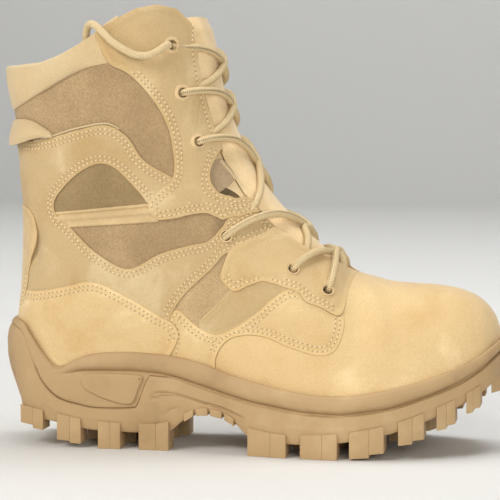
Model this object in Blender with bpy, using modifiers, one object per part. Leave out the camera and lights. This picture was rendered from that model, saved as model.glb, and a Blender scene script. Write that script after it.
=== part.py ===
"""Right combat boot: 8-inch shaft, suede overlays on a one-piece upper, lugged rubber sole.

The tables below are in millimetres, measured from the back of the heel (along), the middle of the
foot (across, minus is the outer side) and the floor (height). MM turns them into metres.
"""

import math

import bmesh
import bpy
import numpy as np
from mathutils import Matrix, Vector

MM = 0.001
WALL = 2.2  # thickness of the upper
SEAT = 0.3  # gap between one piece and the next
OVERLAY = 1.2  # thickness of a leather piece laid on the upper
CUFF = 2.6  # thickness of the padded collar
TONGUE = 5.0
STRAP = 1.4  # thickness of the pull loop
INSOLE = 4.0
FLOOR = 2.3  # rubber between the insole and the outsole
LACE = 4.4  # diameter of the round lace
EYELET_HOLE = 5.2
EYELET_THICK = 0.9
EYELET_BARREL = 6.2
EYELET_FLANGE = 10.0  # of the upper three
EYELET_RIM = 8.2  # of the lower three
RAISED_EYELETS = 3
ROUNDNESS = 2.3  # exponent of the last's cross sections: 2 is an ellipse
COLLAR_BACK = 228.0  # height of the collar at the back of the heel
PIVOT = (306.0, 262.0)  # the instep's sections fan out from here, in side view
LIP_GAP = 1.7  # from the midsole's upper edge to the leather pieces above it
OVERLAY_LOW = 0.35  # gap under the overlays
EYELET_SEAT = OVERLAY_LOW + OVERLAY + 0.5
LACE_LIFT = EYELET_SEAT + EYELET_THICK + LACE / 2 + 1.1  # of a lace's middle where it leaves an eyelet
COLUMNS = 25
ROWS = 7
SOLE_STATIONS = 32
TURN_WEIGHT = 12.0  # stations crowd where an outline turns: a radian counts as this many mm

# The last's outline from above
LAST = (
    # along, outer, inner
    (9.5, 14.0, 14.0),
    (19.0, 24.5, 24.5),
    (38.0, 31.5, 31.5),
    (66.0, 33.5, 32.5),
    (97.0, 34.0, 30.0),
    (128.0, 36.5, 29.0),
    (158.0, 43.0, 34.0),
    (186.0, 48.5, 41.0),
    (212.0, 50.0, 45.5),
    (238.0, 46.5, 46.0),
    (262.0, 38.5, 42.0),
    (282.0, 30.0, 36.5),
    (296.0, 18.0, 27.0),
)
HEEL_TIP = (6.0, 0.0)
TOE_TIP = (303.3, 5.0)

# The sole's outline from above
SOLE = (
    # along, outer, inner
    (5.0, 20.0, 20.0),
    (15.0, 30.0, 30.0),
    (30.0, 36.0, 35.0),
    (50.0, 38.0, 37.0),
    (75.0, 37.5, 36.0),
    (100.0, 38.0, 34.5),
    (125.0, 40.5, 33.5),
    (150.0, 46.5, 37.0),
    (175.0, 51.5, 43.0),
    (200.0, 54.5, 48.5),
    (220.0, 54.5, 51.0),
    (240.0, 51.5, 51.0),
    (260.0, 44.5, 47.5),
    (275.0, 37.0, 43.0),
    (290.0, 28.0, 36.5),
    (300.0, 16.5, 26.5),
)
SOLE_HEEL = (-2.0, 0.0)
SOLE_TOE = (306.5, 6.0)

# Side view lines
FRONT = (
    # along, height: tongue, instep, vamp and toe from the top down
    (111.0, 300.0),
    (116.0, 285.0),
    (121.0, 268.0),
    (126.0, 250.0),
    (130.0, 232.0),
    (134.0, 213.0),
    (140.0, 194.0),
    (149.0, 175.0),
    (160.0, 157.0),
    (173.0, 141.0),
    (187.0, 127.0),
    (201.0, 115.0),
    (216.0, 106.0),
    (232.0, 101.0),
    (249.0, 99.0),
    (266.0, 98.0),
    (280.0, 95.5),
    (291.0, 90.0),
    (298.5, 81.0),
    (302.3, 70.0),
    (303.3, 61.0),
    (303.4, 52.0),
)
BACK = (
    # along, height: the back of the heel and shaft from the footbed up
    (7.5, 37.0),
    (6.0, 50.0),
    (6.0, 64.0),
    (7.5, 80.0),
    (9.5, 98.0),
    (10.5, 116.0),
    (10.5, 138.0),
    (9.0, 160.0),
    (7.0, 181.0),
    (4.5, 200.0),
    (2.0, 215.0),
    (0.0, 230.0),
    (-1.5, 260.0),
    (-2.5, 310.0),
)
FOOTBED = (
    # along, height: the upper's lower edge
    (6.0, 37.0),
    (60.0, 36.5),
    (100.0, 36.0),
    (125.0, 34.5),
    (150.0, 30.0),
    (175.0, 24.5),
    (200.0, 21.0),
    (222.0, 21.0),
    (245.0, 25.5),
    (268.0, 33.0),
    (288.0, 42.5),
    (296.0, 47.0),
    (303.3, 52.0),
)
SHAFT = (
    # height, half width of the ankle and shaft
    (60.0, 36.0),
    (110.0, 36.5),
    (140.0, 38.0),
    (170.0, 40.0),
    (200.0, 43.0),
    (230.0, 46.0),
    (310.0, 47.0),
)
COLLAR = (
    # along, height: the collar's edge from the back to the flap over the top eyelet
    (12.0, 228.0),
    (30.0, 229.5),
    (43.0, 234.0),
    (53.0, 239.0),
    (64.0, 246.0),
    (71.0, 252.0),
    (79.0, 257.0),
    (89.0, 262.5),
    (101.0, 265.0),
    (111.0, 262.5),
)
THROAT = (
    # height on the front line, half gap between the eyestays
    (254.0, 24.0),
    (238.0, 24.5),
    (216.0, 24.5),
    (196.0, 24.0),
    (176.0, 23.5),
    (156.0, 23.0),
    (141.0, 22.0),
    (127.0, 19.0),
    (116.0, 13.5),
    (109.5, 7.0),
)
LEAN = (
    # along the footbed, along the top edge: where each column of the upper starts and ends
    (9.5, 4.0),
    (19.0, 14.0),
    (38.0, 33.0),
    (66.0, 62.0),
    (97.0, 92.0),
    (128.0, 112.0),
    (150.0, 121.0),
    (170.0, 133.0),
    (186.0, 151.0),
    (200.0, 175.0),
    (212.0, 196.0),
    (224.0, 213.0),
    (240.0, 236.0),
    (262.0, 262.0),
    (282.0, 283.0),
    (296.0, 297.0),
    (303.3, 303.3),
)
LIP = (
    # along, height of the midsole's upper edge
    (-2.0, 75.5),
    (8.0, 75.5),
    (15.0, 73.5),
    (21.0, 66.0),
    (29.0, 56.0),
    (38.0, 47.5),
    (46.0, 51.5),
    (54.0, 55.0),
    (66.0, 57.5),
    (86.0, 58.5),
    (111.0, 56.5),
    (127.0, 53.0),
    (152.0, 45.5),
    (183.0, 39.0),
    (212.0, 37.0),
    (241.0, 41.0),
    (270.0, 49.0),
    (288.0, 57.0),
    (300.0, 65.0),
    (306.5, 70.0),
)
GROOVE = (
    # along, height of the line between the midsole and the outsole
    (-2.0, 72.0),
    (8.0, 71.5),
    (15.0, 68.0),
    (20.0, 58.0),
    (25.0, 46.0),
    (29.0, 39.0),
    (34.0, 33.5),
    (41.0, 29.0),
    (51.0, 26.5),
    (63.0, 24.5),
    (84.0, 25.0),
    (88.0, 27.0),
    (94.5, 43.5),
    (99.0, 44.5),
    (111.0, 43.5),
    (121.0, 40.5),
    (141.0, 35.0),
    (158.0, 31.0),
    (188.0, 26.5),
    (212.0, 25.5),
    (241.0, 29.5),
    (264.0, 36.5),
    (281.0, 43.5),
    (292.0, 50.5),
    (300.0, 57.0),
    (306.5, 62.5),
)
UNDERSIDE = (
    # along, height of the outsole between its lugs
    (-2.0, 26.0),
    (4.0, 22.0),
    (12.0, 19.0),
    (38.0, 15.0),
    (60.0, 11.0),
    (87.0, 10.0),
    (106.0, 11.0),
    (114.0, 17.0),
    (122.0, 22.5),
    (134.0, 23.5),
    (145.0, 20.5),
    (154.0, 13.0),
    (162.0, 9.5),
    (184.0, 8.0),
    (214.0, 10.0),
    (242.0, 15.5),
    (264.0, 23.0),
    (283.0, 31.5),
    (295.0, 38.5),
    (306.5, 48.0),
)
TREAD = (
    # along, height of the lugs' feet: heel bevel, flat heel, flat forefoot and toe spring
    (0.0, 19.0),
    (20.0, 13.5),
    (33.0, 8.5),
    (42.0, 5.0),
    (56.0, 2.0),
    (64.0, 0.0),
    (213.0, 0.0),
    (222.0, 1.5),
    (238.0, 6.0),
    (262.0, 14.0),
    (279.0, 22.5),
    (295.0, 33.0),
    (305.0, 41.0),
)
HEEL_TAPER = (
    # height, how far the back of the heel draws in under its plan
    (8.0, 8.5),
    (17.0, 7.6),
    (26.0, 6.2),
    (34.0, 4.4),
    (43.0, 1.9),
    (52.0, 0.3),
    (62.0, 0.0),
    (67.0, 0.7),
    (71.0, 1.9),
    (76.0, 3.6),
)
TAPER_START = 1.0
TAPER_END = 19.0
TAPER_CLEAR = 0.35  # keeps the outsole off the midsole where both draw in
EDGE_LUGS = (
    # rear, front, split: each lug is two blocks with a narrow slot at split
    (13.5, 29.5, 22.5),
    (38.5, 53.5, 46.5),
    (64.0, 77.7, 71.5),
    (89.0, 107.6, 99.5),
    (157.0, 180.5, 171.0),
    (189.0, 211.0, 202.0),
    (218.0, 238.0, 229.5),
    (246.0, 260.5, 254.0),
    (267.5, 278.0, 273.0),
    (284.0, 292.0, 288.0),
)
CENTRE_LUGS = (
    # rear, front, half width, sweep of the chevron's arms towards the toe
    (48.0, 57.0, 13.0, 4.0),
    (68.0, 78.0, 13.0, 4.0),
    (89.0, 99.0, 12.0, 4.0),
    (164.0, 174.0, 15.0, -5.0),
    (184.0, 194.0, 19.0, -5.0),
    (204.0, 213.0, 21.0, -5.0),
    (224.0, 233.0, 20.0, -6.0),
    (243.0, 251.0, 17.0, -6.0),
    (260.0, 267.0, 13.0, -6.0),
)
LUG_REACH = 15.0  # how far an edge lug runs in from the outline
LUG_PROUD = 1.2  # how far it stands out of the sole's side
LUG_SLOT = 1.0
LUG_RISE = 6.0  # how far it climbs the sole's side above the underside

# Leather pieces in side view, from the photograph's own outlines
EYESTAY = (
    (73.5, 230.5),
    (68.5, 240.5),
    (64.5, 251.0),
    (70.0, 280.0),
    (130.0, 280.0),
    (172.0, 190.0),
    (172.0, 152.0),
    (157.0, 141.5),
    (146.0, 139.2),
    (137.8, 138.3),
    (128.5, 141.8),
    (107.7, 138.3),
    (100.0, 138.3),
    (95.3, 147.6),
    (102.0, 155.3),
    (109.7, 162.0),
    (109.5, 183.5),
    (105.2, 198.3),
    (97.4, 211.2),
    (84.3, 224.7),
)
QUARTER = (
    (-15.0, 187.0),
    (20.0, 184.5),
    (33.4, 186.0),
    (54.7, 191.7),
    (72.1, 194.1),
    (84.0, 187.0),
    (92.7, 174.0),
    (106.2, 165.2),
    (109.7, 162.0),
    (102.0, 155.3),
    (95.3, 147.6),
    (83.4, 160.3),
    (71.4, 169.8),
    (61.5, 171.5),
    (51.8, 167.8),
    (40.8, 156.3),
    (37.0, 142.0),
    (46.5, 133.0),
    (62.2, 118.0),
    (81.6, 108.1),
    (89.3, 110.6),
    (101.1, 117.4),
    (120.0, 123.0),
    (131.4, 125.5),
    (137.8, 132.0),
    (146.0, 139.2),
    (157.0, 141.5),
    (172.0, 152.0),
    (178.0, 138.0),
    (163.0, 127.0),
    (141.5, 118.0),
    (135.0, 110.7),
    (115.5, 91.9),
    (108.1, 79.8),
    (110.2, 75.8),
    (102.0, 79.6),
    (91.2, 86.0),
    (77.4, 93.3),
    (65.6, 98.8),
    (57.5, 100.2),
    (41.6, 96.5),
    (22.9, 93.2),
    (-15.0, 93.2),
)
COUNTER_TOP = (
    (-15.0, 93.2),
    (22.9, 93.2),
    (41.6, 96.5),
    (57.5, 100.2),
    (65.6, 98.8),
    (77.4, 93.3),
    (91.2, 86.0),
    (102.0, 79.6),
    (110.2, 75.8),
    (113.3, 69.1),
    (111.0, 62.4),
    (106.0, 57.8),
)
CUFF_LINE = (
    (-15.0, 203.0),
    (8.0, 203.0),
    (35.3, 217.0),
    (56.1, 227.2),
    (73.5, 230.5),
    (68.5, 240.5),
    (64.5, 251.0),
    (55.0, 262.0),
    (-15.0, 262.0),
)
LOBE = (
    (141.5, 118.0),
    (163.0, 127.0),
    (178.0, 138.0),
    (213.5, 116.0),
    (214.0, 98.0),
    (213.5, 88.0),
    (210.0, 81.8),
    (198.1, 86.9),
    (188.1, 90.9),
    (186.7, 94.3),
    (174.8, 98.9),
    (163.4, 101.6),
    (156.3, 99.2),
    (147.9, 95.5),
    (143.0, 97.8),
    (138.0, 103.6),
    (139.2, 108.4),
)
LEAF_TOP = (
    (106.0, 57.8),
    (111.0, 62.4),
    (113.3, 69.1),
    (110.2, 75.8),
    (111.2, 84.6),
    (124.8, 74.2),
    (136.6, 69.8),
    (156.2, 79.9),
    (174.8, 95.4),
    (186.7, 94.3),
    (188.1, 90.9),
    (198.1, 86.9),
    (210.0, 81.8),
    (212.3, 72.8),
    (208.1, 62.6),
    (200.6, 59.6),
    (183.3, 63.3),
    (164.4, 69.9),
    (150.3, 69.7),
    (141.6, 65.3),
    (134.0, 55.0),
)
NOTCH = (
    (137.2, 179.2),
    (132.4, 170.4),
    (131.5, 161.6),
    (136.3, 154.5),
    (145.8, 150.8),
    (156.0, 152.0),
    (175.0, 165.0),
    (155.0, 190.0),
)
WEBBING = (
    (133.0, 170.0),
    (138.0, 178.4),
    (144.5, 164.0),
    (144.5, 152.4),
    (137.0, 155.4),
    (132.4, 161.9),
)
INSERT = (
    (53.3, 39.3),
    (53.8, 43.0),
    (58.5, 44.9),
    (82.4, 45.3),
    (91.5, 44.0),
    (89.0, 36.4),
    (86.0, 29.0),
    (83.5, 27.0),
    (72.5, 28.5),
    (62.7, 32.0),
    (55.7, 35.5),
)
EYELETS = (
    # along, height: from the top down, on both sides
    (109.0, 241.0),
    (115.0, 213.0),
    (124.4, 184.0),
    (141.5, 128.5),
    (180.0, 110.0),
    (200.5, 98.5),
)
LOOP = (
    # along at the back of the shaft, height of the middle, width of the strap, stand off the shaft
    (0.0, 190.0, 15.0, 7.9),
    (8.0, 190.5, 14.5, 7.6),
    (16.0, 191.5, 13.0, 6.6),
    (25.0, 191.0, 10.0, 4.8),
    (34.0, 188.5, 7.0, 3.5),
)
LACE_END = (
    # along, across, height: from the top eyelet over the collar's edge into the shaft
    (106.5, -42.5, 240.0),
    (103.5, -46.5, 237.5),
    (98.0, -49.0, 235.0),
    (91.0, -50.5, 235.2),
    (83.5, -51.5, 238.8),
    (76.5, -51.5, 243.5),
    (71.0, -50.5, 248.5),
    (66.5, -48.5, 252.5),
    (62.5, -45.5, 253.5),
    (59.5, -41.5, 251.0),
    (58.0, -38.5, 244.0),
    (57.5, -37.5, 236.0),
    (57.5, -37.0, 227.0),
)


def smooth(points, steps):
    """Catmull-Rom curve through the points."""
    rows = np.array(points, float)
    ends = np.vstack([2 * rows[0] - rows[1], rows, 2 * rows[-1] - rows[-2]])
    curve = []
    for a, b, c, d in zip(ends[:-3], ends[1:-2], ends[2:-1], ends[3:]):
        for k in range(steps):
            t = k / steps
            bend = (2 * a - 5 * b + 4 * c - d) * t * t
            curve.append(0.5 * (2 * b + (c - a) * t + bend + (3 * b - a - 3 * c + d) * t**3))
    curve.append(rows[-1])
    return np.array(curve)


def ease(value, low, high):
    t = np.clip((value - low) / (high - low), 0, 1)
    return t * t * (3 - 2 * t)


def lookup(table, value):
    rows = np.array(table)
    return np.interp(value, rows[:, 0], rows[:, 1])


def plan(table, heel, toe, column):
    """One side of an outline from above, as a smooth curve from the heel's tip to the toe's."""
    sign = -1 if column == 1 else 1
    rows = [(row[0], sign * row[column]) for row in table]
    mirrored = (rows[0][0], -rows[0][1])
    beyond = (rows[-1][0], 2 * toe[1] - rows[-1][1])
    curve = smooth([mirrored, heel] + rows + [toe, beyond], 12)
    return curve[12:-12]


last_plan = [plan(LAST, HEEL_TIP, TOE_TIP, column) for column in (1, 2)]
sole_plan = [plan(SOLE, SOLE_HEEL, SOLE_TOE, column) for column in (1, 2)]
front_line = smooth(FRONT, 8)
back_line = smooth(BACK, 8)
footbed_line = smooth(FOOTBED, 8)
lip_line = smooth(LIP, 6)


def front_height(along):
    above = FRONT[0][1] + (FRONT[0][0] - along) * 3
    return np.where(along < FRONT[0][0], above, lookup(front_line, along))


def front_reach(height):
    return lookup(front_line[::-1, ::-1], height)


def back_reach(height):
    return lookup(back_line[:, ::-1], height)


def section(along, height):
    """Half width of the last at a point of the side view, and its middle across the foot."""
    shaft_part = ease(height, 85.0, 150.0) * (1 - ease(along, 170.0, 215.0))
    fade = 1 - ease(along, 20.0, 120.0)
    eased = along - (back_reach(height) - HEEL_TIP[0]) * fade
    outer = lookup(last_plan[0], eased)
    inner = lookup(last_plan[1], eased)
    half = (inner - outer) / 2
    middle = (inner + outer) / 2
    top = front_height(along)
    bed = lookup(footbed_line, along)
    depth = np.clip((top - height) / np.maximum(top - bed, 0.5), 0, 1)
    foot = half * (1 - (1 - depth) ** ROUNDNESS) ** (1 / ROUNDNESS)
    front, back = front_reach(height), back_reach(height)
    share = np.clip(np.abs(along - (front + back) / 2) / ((front - back) / 2), 0, 1)
    shaft = lookup(SHAFT, height) * (1 - share**ROUNDNESS) ** (1 / ROUNDNESS)
    ridge = 3 * ease(along, 140.0, 220.0) * (1 - depth)
    centre = (middle * depth + ridge) * (1 - shaft_part)
    return foot * (1 - shaft_part) + shaft * shaft_part, centre


def surface(along, height, side, lift=0.0):
    """A point on the last's side (-1 outer, 1 inner), lifted off it along its normal."""
    half, centre = section(along, height)
    step = 0.4
    slope = []
    for da, dh in ((step, 0), (0, step)):
        ahead, shift_ahead = section(along + da, height + dh)
        behind, shift_behind = section(along - da, height - dh)
        change = side * (ahead - behind) + shift_ahead - shift_behind
        slope.append(side * change / (2 * step))
    normal = Vector((-slope[0], side, -slope[1])).normalized()
    point = Vector((float(along), float(centre + side * half), float(height)))
    return point + normal * lift, normal


def inward(height):
    """The front line's point at this height, and the way from it into the boot."""
    front = Vector((float(front_reach(height)), float(height)))
    return front, (front - Vector(PIVOT)).normalized()


def across_throat(height, across, lift=0.0):
    """A point of the last near its front line, this far across the foot."""
    front, way = inward(height)
    near, far = 0.0, 45.0
    for _ in range(40):
        middle = (near + far) / 2
        spot = front + way * middle
        half, _centre = section(spot.x, spot.y)
        if half < abs(across):
            near = middle
        else:
            far = middle
    spot = front + way * far
    side = -1 if across < 0 else 1
    _half, centre = section(spot.x, spot.y)
    point, normal = surface(spot.x, spot.y, side)
    blend = float(ease(abs(across), 0.0, 6.0))
    out = Vector((-way.x, 0, -way.y))
    normal = (normal * blend + out * (1 - blend)).normalized()
    base = Vector((spot.x, float(centre) + across, spot.y))
    return base + normal * lift, normal


def top_edge():
    """The upper's top edge in side view: collar, flap, throat, then the ridge of the vamp."""
    start = (float(back_reach(COLLAR_BACK)), COLLAR_BACK)
    throat = []
    for height, gap in THROAT:
        point, _normal = across_throat(height, -gap)
        throat.append((point.x, point.z))
    ridge = [tuple(row) for row in front_line if row[0] > throat[-1][0] + 4]
    return np.array([start] + list(COLLAR) + throat + ridge), ridge[0][0]


top_line, ridge_start = top_edge()


def shares(table_plan, count):
    """Stations from heel to toe along an outline, closer where it turns."""
    moves = np.diff(table_plan, axis=0)
    heading = np.unwrap(np.arctan2(moves[:, 1], moves[:, 0]))
    turns = np.abs(np.gradient(heading))
    steps = np.hypot(*moves.T) + TURN_WEIGHT * turns
    length = np.concatenate([[0], np.cumsum(steps)])
    even = np.linspace(0, length[-1], count)
    return np.interp(even, length, table_plan[:, 0])


def mean_plan(plans):
    alongs = plans[0][:, 0]
    across = (np.interp(alongs, plans[1][:, 0], plans[1][:, 1]) - plans[0][:, 1]) / 2
    return np.column_stack([alongs, across])


def column_point(start, height=None, rise=None):
    """A point in side view on the column that starts at this place of the footbed."""
    foot = float(lookup(footbed_line, start))
    lean = [(HEEL_TIP[0], float(back_reach(COLLAR_BACK)))] + list(LEAN)
    end = float(lookup(lean, start))
    top = float(lookup(top_line, end))
    share = rise if height is None else np.clip((height - foot) / max(top - foot, 1.0), 0, 1)
    z = foot + (top - foot) * share
    fade = 1 - float(ease(start, 20.0, 120.0))
    bend_here = float(back_reach(z)) - HEEL_TIP[0]
    bend_top = float(back_reach(top)) - HEEL_TIP[0]
    along = start + bend_here * fade + (end - start - bend_top * fade) * share
    return along, z


def open_surface(low):
    """The last's side as an open mesh, one sheet from the outer side round to the inner."""
    mesh = bmesh.new()
    starts = shares(mean_plan(last_plan), COLUMNS)
    grids = []
    for side in (-1, 1):
        grid = []
        for start in starts:
            curl = float(ease(start, 130.0, 230.0))
            rises = [
                j / ROWS * (1 - curl) + math.sin(math.pi / 2 * j / ROWS) * curl
                for j in range(ROWS + 1)
            ]
            column = []
            for rise in rises:
                along, z = column_point(start, rise=rise)
                half, centre = section(along, z)
                if rise > 0.999 and along >= ridge_start:
                    half = 0.0
                column.append(mesh.verts.new((along, float(centre + side * half), z)))
            grid.append(column)
        grids.append(grid)
    for side, grid in enumerate(grids):
        for left, right in zip(grid, grid[1:]):
            for j in range(ROWS):
                corners = [left[j], right[j], right[j + 1], left[j + 1]]
                mesh.faces.new(corners if side == 0 else corners[::-1])
    bmesh.ops.remove_doubles(mesh, verts=mesh.verts, dist=0.02)
    bmesh.ops.dissolve_degenerate(mesh, dist=0.01, edges=mesh.edges)
    bmesh.ops.triangulate(mesh, faces=mesh.faces)
    mesh.normal_update()
    moves = [(vertex, vertex.normal * low) for vertex in mesh.verts]
    for vertex, move in moves:
        vertex.co += move
    return mesh


def collection(name):
    made = bpy.data.collections.new(name)
    bpy.context.scene.collection.children.link(made)
    return made


def material(name, colour, roughness, metallic=0.0):
    made = bpy.data.materials.new(name)
    made.use_nodes = True
    shader = made.node_tree.nodes["Principled BSDF"]
    shader.inputs["Base Color"].default_value = (*colour, 1.0)
    shader.inputs["Roughness"].default_value = roughness
    shader.inputs["Metallic"].default_value = metallic
    made.diffuse_color = (*colour, 1.0)
    return made


def place(mesh, name, group, finish=None):
    """Turns a bmesh in millimetres into an object in metres under the boot's empty."""
    bmesh.ops.scale(mesh, vec=(MM, MM, MM), verts=mesh.verts)
    data = bpy.data.meshes.new(name)
    mesh.to_mesh(data)
    mesh.free()
    made = bpy.data.objects.new(name, data)
    group.objects.link(made)
    made.parent = boot
    if finish:
        data.materials.append(finish)
    else:
        made.hide_render = True
        made.display_type = "WIRE"
    return made


def boolean(target, cutter, operation):
    step = target.modifiers.new(cutter.name, "BOOLEAN")
    step.operation = operation
    step.solver = "EXACT"
    step.object = cutter


def solidify(target, thickness, direction):
    wall = target.modifiers.new("wall", "SOLIDIFY")
    wall.thickness = thickness * MM
    wall.offset = direction
    wall.use_even_offset = False


def shrink(outline, gap):
    """Moves a side-view outline in by a gap."""
    points = np.array(outline, float)
    ahead = np.roll(points, -1, axis=0) - points
    ahead /= np.hypot(*ahead.T)[:, None]
    behind = np.roll(ahead, 1, axis=0)
    area = np.sum(points[:, 0] * np.roll(points[:, 1], -1) - points[:, 1] * np.roll(points[:, 0], -1))
    turn = 1 if area > 0 else -1
    normals = np.column_stack([-(ahead + behind)[:, 1], (ahead + behind)[:, 0]]) * turn
    normals /= np.hypot(*normals.T)[:, None]
    bend = np.sum(normals * np.column_stack([-ahead[:, 1], ahead[:, 0]]) * turn, axis=1)
    return points + normals * gap / np.maximum(bend, 0.5)[:, None]


def prism(name, outline, low, high):
    """A cutter with a side-view outline, from one place across the foot to another."""
    mesh = bmesh.new()
    corners = [mesh.verts.new((x, low, z)) for x, z in outline]
    face = mesh.faces.new(corners)
    grown = bmesh.ops.extrude_face_region(mesh, geom=[face])
    moved = [item for item in grown["geom"] if isinstance(item, bmesh.types.BMVert)]
    bmesh.ops.translate(mesh, verts=moved, vec=(0, high - low, 0))
    bmesh.ops.recalc_face_normals(mesh, faces=mesh.faces)
    return place(mesh, name, cutters)


def laid_on(name, outline, low, thickness, reach, finish):
    """A piece cut in side view between two forms of the last's surface."""
    piece = place(open_surface(low), name, parts, finish)
    solidify(piece, thickness, 1.0)
    cutter = prism(name + "_outline", shrink(outline, SEAT * 0.75), *reach)
    boolean(piece, cutter, "INTERSECT")
    return piece


def drill(height_low, height_high):
    """Round cutters through the upper and its eyestays at the eyelets."""
    mesh = bmesh.new()
    for along, height in EYELETS:
        for side in (-1, 1):
            point, normal = surface(along, height, side)
            turn = normal.to_track_quat("Z", "Y").to_matrix().to_4x4()
            middle = point + normal * (height_low + height_high) / 2
            bmesh.ops.create_cone(
                mesh,
                cap_ends=True,
                segments=6,
                radius1=EYELET_BARREL / 2 + 0.8,
                radius2=EYELET_BARREL / 2 + 0.8,
                depth=height_high - height_low,
                matrix=Matrix.Translation(middle) @ turn,
            )
    return place(mesh, "eyelet_holes", cutters)


def sole_rings(plans, moves_and_heights, count):
    """Closed rings of points: each is an outline moved in by a distance at its own heights."""
    stations = shares(mean_plan(plans), count)
    rings = []
    for inset, height in moves_and_heights:
        sides = []
        for curve in plans:
            across = np.interp(stations, curve[:, 0], curve[:, 1])
            points = np.column_stack([stations, across])
            tangent = np.gradient(points, axis=0)
            tangent[0] = (0, tangent[0, 1])
            tangent[-1] = (0, tangent[-1, 1])
            tangent /= np.hypot(*tangent.T)[:, None]
            out = np.column_stack([tangent[:, 1], -tangent[:, 0]])
            if curve[len(curve) // 2, 1] > 0:
                out = -out
            heights = np.array([height(x) for x in stations])
            taper = np.interp(heights, *np.transpose(HEEL_TAPER))
            taper *= 1 - ease(stations, TAPER_START, TAPER_END)
            moved = points - out * (inset + taper)[:, None]
            sides.append(np.column_stack([moved, heights]))
        rings.append(sides)
    return rings


def last_ring(height, lift, count):
    """A ring round the last where it passes these heights."""
    starts = shares(mean_plan(last_plan), count)
    sides = []
    for side, curve in zip((-1, 1), last_plan):
        points = []
        for start in starts:
            along, z = column_point(start, height=height(start))
            half, centre = section(along, z)
            points.append((along, float(centre + side * half), height(start)))
        points = np.array(points)
        tangent = np.gradient(points[:, :2], axis=0)
        tangent[0] = (0, tangent[0, 1])
        tangent[-1] = (0, tangent[-1, 1])
        tangent /= np.hypot(*tangent.T)[:, None]
        out = np.column_stack([-tangent[:, 1], tangent[:, 0]]) * side
        points[:, :2] += out * lift
        sides.append(points)
    return sides


def loft(rings):
    """A closed solid through rings, capped straight across at the first and the last."""
    mesh = bmesh.new()
    loops = []
    for outer, inner in rings:
        left = [mesh.verts.new(point) for point in outer]
        right = [left[0]] + [mesh.verts.new(point) for point in inner[1:-1]] + [left[-1]]
        loops.append((left, right))
    for lower, upper in zip(loops, loops[1:]):
        for near, far in zip(lower, upper):
            for i in range(len(near) - 1):
                corners = [near[i], near[i + 1], far[i + 1], far[i]]
                mesh.faces.new(corners)
    for left, right in (loops[0], loops[-1]):
        last = len(left) - 1
        for i in range(last):
            corners = [left[i], left[i + 1], right[i + 1], right[i]]
            mesh.faces.new(list(dict.fromkeys(corners)))
    bmesh.ops.recalc_face_normals(mesh, faces=mesh.faces)
    return mesh


def bed(along):
    return float(lookup(footbed_line, np.clip(along, HEEL_TIP[0], TOE_TIP[0])))


def lip(along):
    return float(lookup(lip_line, along))


def groove(along):
    return float(lookup(GROOVE, along))


def underside(along):
    return float(lookup(UNDERSIDE, along))


def split(along):
    """The joint between the midsole and the outsole inside the sole."""
    return min(groove(along) - 1.0, bed(along) - FLOOR)


def between(low, high, share):
    return lambda along: low(along) * (1 - share) + high(along) * share


def build_midsole():
    floor = lambda along: bed(along) - SEAT
    rings = [
        last_ring(floor, SEAT + 0.2, SOLE_STATIONS),
        last_ring(between(floor, lip, 0.4), SEAT + 0.5, SOLE_STATIONS),
        last_ring(lip, SEAT + 0.3, SOLE_STATIONS),
    ]
    rings += sole_rings(
        sole_plan,
        (
            (1.9, lip),
            (0.5, between(groove, lip, 0.9)),
            (0.0, between(groove, lip, 0.65)),
            (0.1, between(groove, lip, 0.3)),
            (0.5, between(groove, lip, 0.12)),
            (1.7, lambda along: groove(along) + 0.15),
            (1.8, split),
        ),
        SOLE_STATIONS,
    )
    midsole = place(loft(rings), "midsole", parts, rubber)
    for side, name in ((-1, "outer"), (1, "inner")):
        depth = sorted((side * 36.3, side * 60.0))
        recess = prism("recess_" + name, shrink(INSERT, -0.15), *depth)
        boolean(midsole, recess, "DIFFERENCE")


def build_inserts():
    for side, name in ((-1, "outer"), (1, "inner")):
        face = 38.0 if side < 0 else 37.3
        depth = sorted((side * 36.6, side * face))
        made = prism("side_insert_" + name, shrink(INSERT, 0.15), *depth)
        cutters.objects.unlink(made)
        parts.objects.link(made)
        made.hide_render = False
        made.display_type = "SOLID"
        made.data.materials.append(rubber)


def build_outsole():
    clear = SEAT + TAPER_CLEAR
    rings = sole_rings(
        sole_plan,
        (
            (1.8 - clear, lambda along: split(along) - SEAT),
            (1.8 - clear, lambda along: groove(along) - SEAT),
            (0.4, lambda along: groove(along) - SEAT),
            (-0.3, lambda along: groove(along) - 1.2),
            (-0.3, between(underside, groove, 0.55)),
            (0.5, between(underside, groove, 0.2)),
            (1.6, underside),
        ),
        SOLE_STATIONS,
    )
    outsole = place(loft(rings), "outsole", parts, rubber)
    lugs = place(lug_blocks(), "lugs", cutters)
    boolean(outsole, lugs, "UNION")


def outline_at(along, side):
    curve = sole_plan[0] if side < 0 else sole_plan[1]
    return float(lookup(curve, along))


def block(mesh, corners, roots):
    """A lug: four corners from above, feet on the tread line, tops sunk into the sole."""
    feet = [mesh.verts.new((x, y, float(lookup(TREAD, x)))) for x, y in corners]
    tops = [mesh.verts.new((x, y, root)) for (x, y), root in zip(corners, roots)]
    mesh.faces.new(feet)
    mesh.faces.new(tops)
    for i in range(4):
        j = (i + 1) % 4
        mesh.faces.new([feet[i], feet[j], tops[j], tops[i]])


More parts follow.
